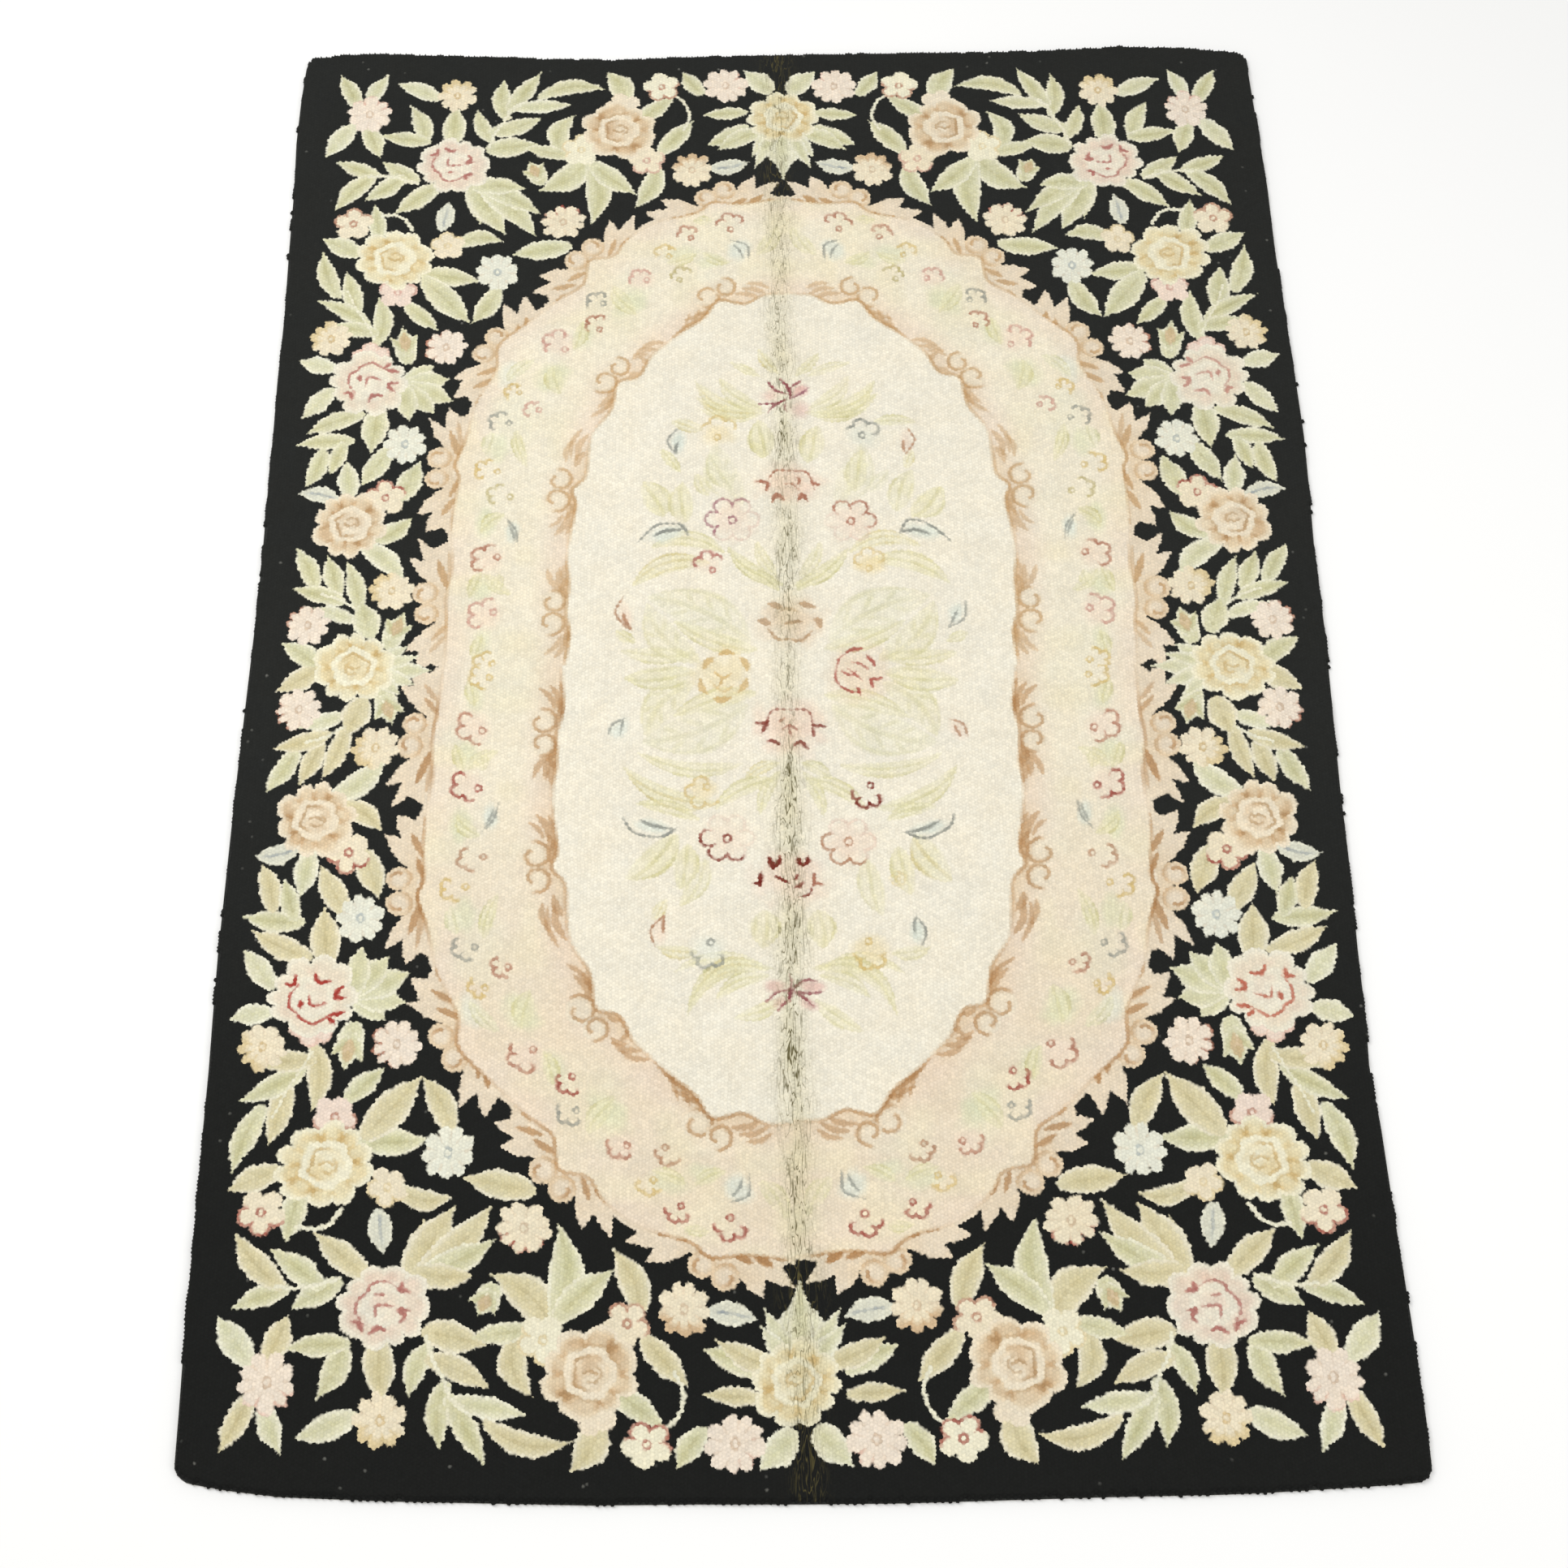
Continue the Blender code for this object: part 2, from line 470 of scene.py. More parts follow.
def rose(c, cx, cy, radius, look, turn=0.0, lobes=9, line_yarn=None):
    """A full-blown rose: ragged outer petals round a cupped heart."""
    idx = c.near(cx, cy, radius * 1.2)
    px, py = c.x[idx] - cx, c.y[idx] - cy
    r, a = np.hypot(px, py), np.arctan2(py, px) - turn
    phase = a * lobes / 2 + 0.5 * np.sin(2 * a + cx) + 0.3 * np.sin(3 * a + cy)
    wave = abs(np.cos(phase)) ** 0.6
    edge = radius * (0.80 + 0.19 * wave + 0.04 * np.sin(2 * a + cy) + 0.03 * np.sin(5 * a + cx))
    edge = edge + 1.0 * noise(px + cx, py + cy, 5.5, 33)
    ok = r < edge
    idx, r, a, px, py, wave, edge = (v[ok] for v in (idx, r, a, px, py, wave, edge))
    rim, body, shade, deep, line = (rgb(k) if k else None for k in ROSES[look])
    rel = r / edge
    heart = radius * (0.52 + 0.03 * np.sin(5 * a + 1.0) + 0.02 * np.sin(9 * a))
    cup = r / heart
    col = blend(rim, body, smooth(1.0, 0.78, rel))
    patch = noise(px + cx, py + cy, radius * 0.26, 34)
    if line is None:
        # Shade lies in patches between the outer petals, outside the pale cup
        ring = smooth(0.93, 0.74, rel) * smooth(0.98, 1.14, cup)
        gap = smooth(0.9, 0.35, wave)
        col = blend(col, shade, np.clip(0.95 * ring * (0.35 + 0.65 * gap + 0.5 * patch), 0, 1))
        col = blend(col, deep, np.clip(0.55 * ring * gap * smooth(-0.1, 0.5, patch), 0, 1))
        col = blend(col, deep, 0.30 * smooth(0.10, 0.03, abs(cup - 1.08)) * smooth(-0.6, 0.4, np.sin(2 * a + 0.6)))
        col = blend(col, rim, smooth(1.06, 0.98, cup))
        inner = smooth(0.80, 0.66, cup)
        col = blend(col, shade, np.clip(0.55 * inner * (0.55 + 0.8 * patch), 0, 1))
        fold = smooth(2.4, 0.9, abs(r - heart * 0.66 - 1.5 * np.sin(3 * a)))
        col = blend(col, deep, 0.55 * fold * smooth(-0.3, 0.6, np.sin(a + 2.1)))
        fold = smooth(2.2, 0.8, abs(r - heart * 0.38 + 1.2 * np.sin(2 * a)))
        col = blend(col, deep, 0.45 * fold * smooth(-0.2, 0.6, np.sin(a - 0.6)))
        eye = smooth(2.2, 1.0, abs(py + 0.06 * radius - 0.5 * abs(px))) * (abs(px) < radius * 0.16)
        col = blend(col, deep, 0.5 * eye)
    else:
        ring = smooth(0.92, 0.70, rel) * smooth(0.98, 1.2, cup)
        col = blend(col, shade, np.clip((0.16 if look == "red" else 0.26) * ring * (0.6 + 0.9 * patch), 0, 1))
        col = blend(col, rim, 0.7 * smooth(1.0, 0.9, cup))
        col = blend(col, shade, np.clip(0.22 * smooth(0.75, 0.5, cup) * (0.5 + patch), 0, 1))
    c.hook(idx, col)
    if line is not None:
        lines(c, cx, cy, radius, look, turn, line_yarn or ROSES[look][4])


# The drawn lines of a pink rose, as shares of its radius
ROSE_LINES = {
    "pink": [
        # kind, points
        ("thin", [(0.42, 0.42), (0.6, 0.12), (0.52, -0.15), (0.36, -0.3), (0.3, -0.45), (0.1, -0.54), (-0.1, -0.5), (-0.28, -0.36)]),
        ("thick", [(0.28, 0.62), (0.12, 0.5), (-0.06, 0.56)]),
        ("thick", [(0.66, 0.36), (0.5, 0.42), (0.44, 0.6)]),
        ("thick", [(-0.36, 0.36), (-0.44, 0.22), (-0.34, 0.1), (-0.56, 0.12)]),
        ("thick", [(-0.3, -0.34), (-0.52, -0.3)]),
        ("thick", [(-0.3, -0.3), (-0.36, -0.5)]),
        ("thin", [(0.16, 0.28), (0.16, 0.02), (-0.22, 0.02)]),
        ("thin", [(0.2, -0.24), (0.0, -0.22)]),
    ],
    "red": [
        ("thin", [(0.28, -0.34), (0.48, -0.1), (0.52, 0.2), (0.36, 0.36), (0.28, 0.5), (0.05, 0.64), (-0.16, 0.56), (-0.34, 0.46)]),
        ("thick", [(-0.3, 0.5), (-0.44, 0.68)]),
        ("thick", [(-0.34, 0.46), (-0.66, 0.42)]),
        ("thick", [(-0.7, 0.08), (-0.5, 0.04), (-0.54, -0.1), (-0.68, -0.2)]),
        ("thick", [(-0.42, -0.34), (-0.14, -0.36), (-0.08, -0.56)]),
        ("thick", [(0.56, -0.36), (0.4, -0.34), (0.34, -0.54)]),
        ("thick", [(0.28, 0.24), (0.24, 0.04)]),
        ("thin", [(-0.3, 0.14), (0.04, 0.18), (0.08, -0.1)]),
    ],
}


def lines(c, cx, cy, radius, look, turn, yarn):
    ct, st = np.cos(turn), np.sin(turn)
    for kind, pts in ROSE_LINES[look]:
        p = [(cx + radius * (u * ct - v * st), cy + radius * (u * st + v * ct)) for u, v in pts]
        if kind == "thin":
            stroke(c, p, 3.0, yarn, 0.75)
        else:
            stroke(c, p, 5.2, yarn, 0.85)


DAISIES = {
    # look: petal, lit petals, ring, their side (as an angle, or None)
    "pink": ("daisy_pink", "rose_tint", "ring", None),
    "rosy": ("daisy_pink", "brown_red", "ring", None),
    "gold": ("daisy_cream", "gold", "gold_deep", None),
    "white": ("daisy_white", "daisy_white", "line_blue", None),
    "tan": ("daisy_cream", "tan", "ring", None),
    "red": ("daisy_cream", "deep_red", "ring", None),
}


def daisy(c, cx, cy, radius, look, side, turn=0.0, petals=9, lit_yarn=None):
    """A daisy with round petals; those towards side (in degrees) are edged in the second colour."""
    idx = c.near(cx, cy, radius * 1.15)
    px, py = c.x[idx] - cx, c.y[idx] - cy
    r, a = np.hypot(px, py), np.arctan2(py, px)
    wave = abs(np.cos((a - turn) * petals / 2 + 0.35 * np.sin(2 * a + cx) + 0.25 * np.sin(3 * a + cy))) ** 0.55
    edge = radius * (0.70 + 0.29 * wave + 0.035 * np.sin(2 * a + cy) + 0.03 * np.sin(5 * a + cx))
    edge = edge + 0.9 * noise(px + cx, py + cy, 5.0, 35)
    ok = r < edge
    idx, r, a, px, py, wave, edge = (v[ok] for v in (idx, r, a, px, py, wave, edge))
    petal, lit, ring, _ = DAISIES[look]
    petal, lit, ring = rgb(petal), rgb(lit_yarn or lit), rgb(ring)
    rel = r / edge
    col = np.tile(petal, (len(idx), 1))
    gap = smooth(0.6, 0.2, wave) * smooth(0.3, 0.75, rel)
    col = blend(col, blend(petal, rgb("ring"), 0.45), 0.55 * gap)
    if side is not None:
        facing = smooth(0.1, 0.75, np.cos(a - np.radians(side)))
        if look in ("gold", "tan"):
            col = blend(col, lit, 0.75 * facing * smooth(0.5, 0.85, rel))
            col = blend(col, lit, 0.6 * facing * gap)
        else:
            mark = np.maximum(smooth(0.88, 0.98, rel), gap * smooth(0.6, 0.8, rel))
            mark = mark * smooth(-0.45, 0.35, noise(px + cx, py + cy, 9, 49))
            col = blend(col, lit, np.clip(0.85 * facing * mark, 0, 1))
    c.hook(idx, col)
    oval = np.hypot(px / 0.85, py / 1.15)
    line = smooth(1.7, 0.6, abs(oval - radius * 0.15)) * 0.50
    c.hook(idx, ring, line, solid=False)


def petals5(c, cx, cy, radius, line, side, turn=0.0, petals=5, reach=1.6, fill=None, wide=1.9, share=0.75, ring=(0.0, 0.0)):
    """A flower drawn only by its outline, most of it on one side, with a small ring for its eye."""
    idx = c.near(cx, cy, radius * 1.35)
    px, py = c.x[idx] - cx, c.y[idx] - cy
    r, a = np.hypot(px, py), np.arctan2(py, px)
    wave = abs(np.cos((a - turn) * petals / 2)) ** 0.5
    edge = radius * (0.54 + 0.46 * wave)
    if fill is not None:
        body = smooth(1.02, 0.85, r / edge)
        c.hook(idx, rgb(fill), body * 0.7, solid=False)
    facing = smooth(np.cos(reach) - 0.12, np.cos(reach) + 0.12, np.cos(a - np.radians(side)))
    slope = 1 + 1.8 * (1 - wave)
    mark = smooth(wide, wide * 0.35, abs(r - edge * 0.95) / slope) * facing
    mark = mark * (0.8 + 0.3 * noise(px + cx, py + cy, 5, 36))
    c.hook(idx, rgb(line), np.clip(share * mark, 0, 1), solid=False)
    far = np.hypot(px - ring[0], (py - ring[1]) * 0.9)
    eye = smooth(1.7, 0.5, abs(far - radius * 0.07 - 2.0))
    c.hook(idx, rgb(line), share * 0.85 * eye, solid=False)


def ghost(c, bx, by, tx, ty, half, bend, look, share=1.0):
    """A leaf hooked so close to the ground's own colour that it only just shows: soft edge, soft long veins."""
    length = np.hypot(tx - bx, ty - by)
    ux, uy = (tx - bx) / length, (ty - by) / length
    idx = c.near((bx + tx) / 2, (by + ty) / 2, length / 2 + half + abs(bend) + 6)
    x, y = c.x[idx], c.y[idx]
    px, py = x - bx, y - by
    t = (px * ux + py * uy) / length
    s = -px * uy + py * ux - bend * 4 * t * (1 - t)
    tt = np.clip(t, 1e-6, 1 - 1e-6)
    wide = half * np.sin(np.pi * tt**0.9) ** 0.75
    r = abs(s) / np.maximum(wide, 1e-3)
    body = smooth(1.12, 0.8, r) * (t > 0) * (t < 1)
    light, dark = (rgb(k) for k in GHOSTS[look])
    cloud = 0.75 + 0.35 * noise(x, y, 15, 37)
    c.hook(idx, light, np.clip((0.45 if half > 18 else 0.70) * share * body * cloud, 0, 1), solid=False)
    side = 1 if bend >= 0 else -1
    rim = smooth(0.22, 0.0, abs(r - 0.9)) * (side * s > 0) * smooth(0.05, 0.3, t) * (0.55 if half > 18 else 1.0)
    if half > 18:
        # a few long veins run out from the rib
        bands = smooth(0.15, 1.0, np.cos((t * length - 1.1 * abs(s)) * 2 * np.pi / 27 + 0.9 * np.sin(4 * t + by)))
        bands = np.maximum(0.60 * bands * smooth(2, 9, abs(s)), 0.6 * smooth(6.0, 1.0, abs(s)))
    else:
        bands = 0.85 * smooth(0.0, 1.0, np.cos(s / max(half, 1) * 7.5 + 1.2 * np.sin(3 * t + bx)))
    vein = np.maximum(rim, 0.75 * bands * smooth(0.95, 0.6, r)) * (t > 0) * (t < 1) * np.sin(np.pi * tt) ** 0.5
    c.hook(idx, dark, np.clip(0.95 * share * vein * cloud, 0, 1), solid=False)


GHOSTS = {
    # look: body, veins
    "green": ("ghost_green", "ghost_vein"),
    "grey": ("ghost_grey", "ghost_grey_vein"),
    "olive": ("ghost_green", "ghost_olive"),
}


def smudge(c, cx, cy, half_x, half_y, tilt, yarn, share):
    """A soft blot of another colour."""
    idx = c.near(cx, cy, max(half_x, half_y) * 1.6)
    px, py = c.x[idx] - cx, c.y[idx] - cy
    ct, st = np.cos(np.radians(tilt)), np.sin(np.radians(tilt))
    u, v = (px * ct + py * st) / half_x, (-px * st + py * ct) / half_y
    far = np.hypot(u, v) + 0.25 * noise(px + cx, py + cy, 12, 38)
    c.hook(idx, rgb(yarn), np.clip(share * smooth(1.25, 0.3, far), 0, 1), solid=False)


def bud(c, bx, by, tx, ty, half, look, heart="tan"):
    """A half-open bud: three pointed sepals round a coloured heart."""
    leaf(c, bx, by, tx, ty, half, 0, look, belly=0.42)
    ux, uy = tx - bx, ty - by
    length = np.hypot(ux, uy)
    ux, uy = ux / length, uy / length
    nx, ny = -uy, ux
    for s in (-1, 1):
        mx, my = bx + ux * length * 0.2, by + uy * length * 0.2
        leaf(c, mx, my, bx + ux * length * 0.74 + nx * s * half * 1.15, by + uy * length * 0.74 + ny * s * half * 1.15, half * 0.55, -s * 2.0, look)
    stroke(c, [(bx + ux * length * 0.35, by + uy * length * 0.35), (bx + ux * length * 0.78, by + uy * length * 0.78)], half * 0.9, heart, 0.6)


# ---------------------------------------------------------------- the design, one quarter of it
# Every place is in mm from the design's middle: out across the rug, then out along it.
LEAVES = [
    # base_out, base_along, tip_out, tip_along, half_width, bow, look
    (538, 842, 563, 895, 13.5, 1, "sage"),
    (523, 846, 501, 896, 13, -2, "pale"),
    (541, 809, 574, 756, 16, 1, "pale"),
    (524, 806, 504, 754, 15, -1, "sage"),
    (434, 854, 491, 880, 14.5, 2, "pale"),
    (414, 776, 411, 842, 17, 0, "sage"),
    (449, 780, 471, 842, 14, 6, "sage"),
    (444, 782, 507, 793, 13.5, -1, "sage"),
    (347, 820, 350, 888, 14, -6, "sage"),
    (343, 834, 304, 899, 14, 0, "sage"),
    (337, 838, 262, 843, 12.5, 0, "pale"),
    (364, 782, 384, 837, 12.5, -4, "sage"),
    (364, 796, 300, 822, 15, 3, "sage"),
    (368, 768, 305, 777, 18, 0, "sage"),
    (505, 726, 561, 750, 12.5, -1, "sage"),
    (455, 716, 502, 750, 14, -1, "sage"),
    (511, 725, 556, 668, 15.5, 4, "sage"),
    (472, 723, 522, 684, 14.5, -1, "sage"),
    (430, 709, 482, 664, 16, -1, "sage"),
    (388, 713, 373, 645, 14, -2, "sage"),
    (388, 722, 340, 628, 22, 2, "sage"),
    (382, 722, 302, 625, 21, -5, "sage"),
    (376, 712, 296, 661, 16, -2, "sage"),
    (382, 706, 317, 703, 15, -4, "sage"),
    (420, 638, 413, 685, 13, 0, "blue"),
    (498, 626, 506, 679, 13, 0, "sage"),
    (400, 615, 342, 618, 14, -9, "sage"),
    (262, 611, 335, 598, 17, 0, "sage"),
    (520, 600, 569, 625, 16, 0, "sage"),
    (543, 534, 566, 606, 13.5, -5, "sage"),
    (518, 507, 535, 574, 14, 0, "sage"),
    (503, 491, 569, 528, 12.5, 3, "sage"),
    (491, 461, 494, 535, 14.5, 7, "sage"),
    (458, 521, 417, 481, 12.5, 0, "sage"),
    (441, 569, 368, 557, 16.5, 0, "sage"),
    (438, 560, 378, 490, 19.5, 0, "sage"),
    (347, 546, 379, 491, 16, -4, "sage"),
    (493, 478, 554, 490, 13, 0, "sage"),
    (541, 424, 584, 436, 14.5, 0, "pale"),
    (540, 393, 575, 349, 14.5, 0, "pale"),
    (503, 357, 568, 327, 14.5, 3, "sage"),
    (484, 366, 489, 298, 18, 0, "sage"),
    (512, 318, 580, 311, 13, 2, "sage"),
    (545, 304, 563, 250, 13.5, -3, "sage"),
    (521, 314, 536, 268, 12, 0, "sage"),
    (510, 238, 517, 290, 14.5, 0, "pale"),
    (466, 306, 498, 252, 15.5, 0, "sage"),
    (450, 234, 429, 289, 16.5, 0, "sage"),
    (523, 231, 573, 241, 12.5, 6, "blue"),
    (478, 177, 434, 210, 15, 5, "sage"),
    (489, 170, 438, 116, 16, -5, "pale"),
    (541, 112, 567, 167, 13.5, 2, "sage"),
    (514, 103, 530, 157, 13.5, 0, "sage"),
    (508, 92, 570, 111, 12.5, 2, "sage"),
    (488, 82, 507, 149, 13, 2, "sage"),
    (494, 68, 545, 86, 11, 0, "pale"),
    (472, 46, 488, 94, 18, 0, "sage"),
    (527, 4, 575, 38, 15.5, 3, "sage"),
    (304, 858, 217, 867, 14, -11, "sage"),
    (194, 846, 222, 899, 18, 7, "sage"),
    (181, 812, 131, 858, 14, 0, "sage"),
    (150, 762, 107, 816, 15, 0, "sage"),
    (97, 860, 123, 899, 13, -2, "sage"),
    (10, 862, 44, 900, 17, 2, "pale"),
    (42, 829, 98, 824, 11, 0, "sage"),
    (40, 803, 92, 774, 16, -3, "sage"),
    (20, 797, 79, 765, 15, 4, "sage"),
    (84, 735, 37, 746, 14, 2, "blue"),
    (153, 737, 182, 671, 16.5, -6, "sage"),
    (242, 752, 304, 700, 22, -10, "sage"),
    (237, 740, 236, 644, 18.5, -10, "sage"),
    (236, 744, 179, 693, 17, 2, "sage"),
    (277, 766, 258, 825, 16.5, -12, "sage"),
    (266, 757, 324, 772, 12.5, 0, "sage"),
]
STEMS = [
    # thickness, places (out, along)
    (4.0, [(367, 772), (360, 797), (349, 815), (342, 836), (330, 842)]),
    (4.0, [(455, 713), (480, 722), (500, 726), (516, 724)]),
    (4.5, [(496, 661), (480, 662), (467, 655), (457, 638)]),
    (2.4, [(532, 543), (518, 512), (507, 495), (494, 468)]),
    (3.6, [(533, 103), (510, 95), (494, 84)]),
    (3.8, [(133, 857), (123, 850), (116, 838), (113, 824), (115, 812), (121, 799)]),
]
ROSE_PLACES = [
    # out, along, radius, look, turn, lobes
    (410, 742, 48, "pink", 0.0, 10),
    (477, 592, 50, "gold", 0.3, 10),
    (497, 402, 50, "red", 0.1, 10),
    (507, 199, 47, "tan", 0.2, 10),
    (203, 799, 50, "tan", 0.5, 8),
]
DAISY_PLACES = [
    # out, along, radius, look, lit_side (degrees, 0 is outward, 90 is along), turn
    (522, 828, 32, "pink", 110, 0.2),
    (411, 859, 28.5, "gold", 80, 0.0),
    (349, 571, 30, "white", None, 0.1),
    (407, 456, 28.5, "rosy", 20, 0.2),
    (547, 469, 28, "gold", 30, 0.1),
    (449, 313, 29, "white", None, 0.0),
    (453, 107, 28, "gold", 20, 0.2),
    (546, 61, 28, "rosy", 30, 0.0),
    (67, 874, 31, "pink", 140, 0.1),
    (110, 733, 29, "tan", 75, 0.2),
    (270, 650, 29.5, "red", 85, 0.0),
]
SMALL_FLOWERS = [
    # out, along, radius, fill, line, lit_side, turn
    (531, 648, 25, "daisy_cream", "brown_red", 70, 0.3),
    (468, 236, 25, "daisy_cream", "deep_red", 75, 0.2),
    (412, 613, 22, "daisy_cream", "gold", 60, 0.2),
    (470, 540, 24, "pink", "line_pink", 100, 0.4),
    (167, 749, 24, "daisy_cream", "line_pink", 240, 0.3),
    (149, 872, 24, "gold_rim", "brown_red", 250, 0.1),
    (250, 767, 26, "gold_rim", "gold", 60, 0.4),
    (497, 440, 24, "pink", "rose_tint", 90, 0.2),
    (198, 838, 24, "tan_rim", "tan_rim", 90, 0.0),
]
BUDS = [
    # base_out, base_along, tip_out, tip_along, half_width, look, heart
    (452, 433, 461, 488, 15, "sage", "tan"),
    (452, 32, 436, 79, 15, "sage", "tan"),
    (298, 712, 316, 749, 14, "sage", "tan"),
]
# The big cut-edged leaves that point at the frame
FANS = [
    # base_out, base_along, tips (out, along, half_width)
    (455, 400, [(420, 430, 14), (399, 409, 17), (393, 374, 17), (416, 356, 15), (445, 345, 15)]),
]
# The scrolled frame: its inner line, from the rug's middle line out to the long side and round to the end
FRAME_LINE = [
    (384, -20), (384, 0), (387, 60), (390, 97), (385, 140), (388, 205), (383, 262), (388, 284), (377, 320), (366, 372),
    (345, 422), (342, 460), (306, 495), (270, 530), (243, 552), (236, 588), (206, 596), (191, 620), (153, 648),
    (105, 663), (84, 680), (48, 678), (0, 683), (-20, 683),
]
# The ivory middle's edge, the same way round
FIELD_LINE = [
    (251, -20), (251, 0), (247, 48), (253, 78), (251, 118), (254, 150), (251, 185), (245, 225), (250, 247), (235, 265),
    (232, 300), (226, 330), (206, 362), (198, 402), (174, 411), (157, 443), (121, 478), (94, 501), (77, 526),
    (46, 521), (22, 533), (0, 534), (-20, 534),
]
# The frame's arms: each starts between two curls, passes its curl's mouth and has two cut points and an end
FRAME_ARMS = [
    # root, mouth, first_tip, notch, second_tip, notch, end (each: out, along)
    ((406, 277), (401, 250), (431, 212), (413, 216), (419, 188), (400, 194), (386, 178)),
    ((406, 277), (400, 305), (422, 350), (402, 336), (399, 366), (384, 352), (367, 361)),
    ((410, 90), (408, 116), (435, 152), (417, 148), (426, 179), (409, 165), (386, 178)),
    ((410, 90), (399, 66), (432, 26), (416, 28), (416, -1), (401, 9), (385, -2)),
    ((357, 458), (353, 434), (399, 409), (383, 408), (394, 380), (377, 382), (367, 361)),
    ((357, 458), (333, 471), (340, 523), (322, 507), (313, 535), (300, 512), (283, 512)),
    ((244, 600), (259, 576), (297, 565), (283, 555), (305, 539), (286, 535), (283, 512)),
    ((244, 600), (219, 606), (212, 652), (200, 636), (181, 662), (180, 636), (155, 630)),
    ((80, 694), (103, 675), (150, 686), (140, 670), (167, 664), (152, 649), (155, 630)),
    ((80, 694), (58, 693), (32, 724), (29, 703), (1, 713), (12, 692), (-6, 682)),
]
# Soft tan streaks along the arms
FRAME_STREAKS = [
    # from_out, from_along, to_out, to_along, thickness, share
    (382, 264, 392, 238, 5, 0.50), (386, 236, 401, 211, 6, 0.45), (384, 226, 389, 190, 4, 0.25),
    (382, 290, 396, 330, 7, 0.45), (380, 300, 388, 346, 5, 0.30),
    (389, 110, 402, 149, 7, 0.50), (387, 120, 390, 160, 4, 0.25),
    (386, 62, 402, 42, 5, 0.35), (388, 46, 404, 24, 5, 0.25),
    (341, 425, 366, 415, 6, 0.45), (346, 409, 371, 395, 6, 0.45), (362, 384, 368, 368, 4, 0.30),
    (319, 459, 321, 490, 6, 0.50), (309, 476, 311, 500, 7, 0.55),
    (241, 570, 262, 557, 6, 0.45), (252, 551, 280, 544, 6, 0.45), (266, 536, 276, 522, 5, 0.35),
    (212, 596, 205, 620, 5, 0.45), (198, 603, 189, 622, 6, 0.55), (184, 612, 166, 626, 4, 0.35),
    (90, 658, 116, 661, 6, 0.55), (100, 652, 134, 656, 6, 0.50), (136, 643, 148, 638, 6, 0.45),
    (62, 675, 42, 686, 6, 0.55), (44, 671, 22, 690, 8, 0.60), (30, 674, 8, 684, 6, 0.40),
]
CURLS = [
    # out, along, radius, opening (degrees, the way the curl's mouth faces), hand
    (414, 104, 15.0, 60, 1),
    (411, 76, 14.0, 230, -1),
    (407, 293, 15.0, 120, 1),
    (409, 263, 14.0, 240, -1),
    (361, 446, 14.0, 240, -1),
    (346, 471, 14.5, 180, 1),
    (252, 589, 15.0, 290, -1),
    (232, 609, 14.5, 190, 1),
    (92, 687, 14.5, 300, -1),
    (69, 700, 14.5, 200, 1),
]
INNER_CURLS = [
    # out, along, radius, opening (degrees), hand
    (268, 92, 16.0, 60, 1),
    (269, 64, 17.1, 300, -1),
    (265, 261, 16.0, 60, 1),
    (268, 233, 17.1, 300, -1),
    (214, 404, 17.7, 330, -1),
    (198, 425, 14.8, 60, 1),
    (92, 532, 17.1, 300, -1),
    (70, 546, 14.8, 60, 1),
]
MIDDLE_ROSES = [
    # across, along, radius, look, turn, lobes
    (6, 812, 45, "gold", 0.0, 10),
    (-5, -817, 45, "gold", 0.0, 10),
    (-490, -1, 47, "gold", 1.5, 10),
    (500, -1, 47, "gold", 1.5, 10),
]
# Brown streaks of the inner scroll, from the ivory's edge into the band
INNER_STREAKS = [
    # from_out, from_along, to_out, to_along, thickness
    (72, 528, 118, 496, 6), (80, 524, 122, 482, 7), (100, 512, 130, 474, 5), (112, 506, 136, 466, 4),
    (56, 536, 26, 528, 6), (48, 544, 20, 536, 6), (42, 552, 16, 544, 5), (84, 512, 106, 506, 5),
    (172, 440, 162, 424, 6), (182, 436, 164, 444, 5), (180, 442, 152, 452, 6), (172, 452, 142, 462, 5),
    (196, 400, 212, 364, 7), (204, 396, 222, 364, 6), (202, 384, 230, 352, 5), (186, 410, 172, 416, 5),
    (245, 290, 232, 326, 7), (246, 280, 236, 300, 8), (252, 292, 240, 334, 5), (258, 288, 250, 318, 5),
    (250, 226, 256, 184, 6), (254, 214, 268, 184, 7), (252, 240, 256, 206, 7), (260, 212, 276, 194, 4),
    (254, 104, 262, 138, 6), (252, 112, 254, 146, 6), (258, 106, 276, 136, 6), (254, 96, 254, 124, 7),
    (252, 50, 262, 18, 6), (250, 56, 252, 14, 6), (256, 48, 274, 22, 5), (252, 60, 252, 34, 7),
]
# Pale leaves in the band
BAND_LEAVES = [
    # from_out, from_along, to_out, to_along, half_width, bow, look, share
    (352, 132, 364, 98, 8, 0, "green", 1.0),
    (348, 130, 316, 102, 8, 3, "green", 1.0),
    (328, 214, 354, 186, 9, 4, "green", 1.0),
    (346, 330, 352, 296, 10, 0, "grey", 1.0),
    (318, 334, 304, 280, 8, 3, "green", 1.0),
    (276, 428, 268, 384, 12, 3, "green", 1.0),
    (300, 436, 332, 404, 9, 3, "grey", 1.0),
    (206, 548, 178, 504, 11, 3, "green", 1.0),
    (242, 494, 252, 452, 9, -3, "green", 1.0),
    (140, 584, 104, 600, 8, 3, "green", 1.0),
    (96, 600, 62, 584, 8, 3, "green", 1.0),
    (346, 48, 354, 14, 8, 0, "green", 1.0),
    (336, 106, 330, 130, 8, 0, "green", 0.9),
    (30, 596, 4, 640, 11, 4, "green", 0.9),
    (84, 652, 110, 650, 7, 0, "green", 0.8),
]
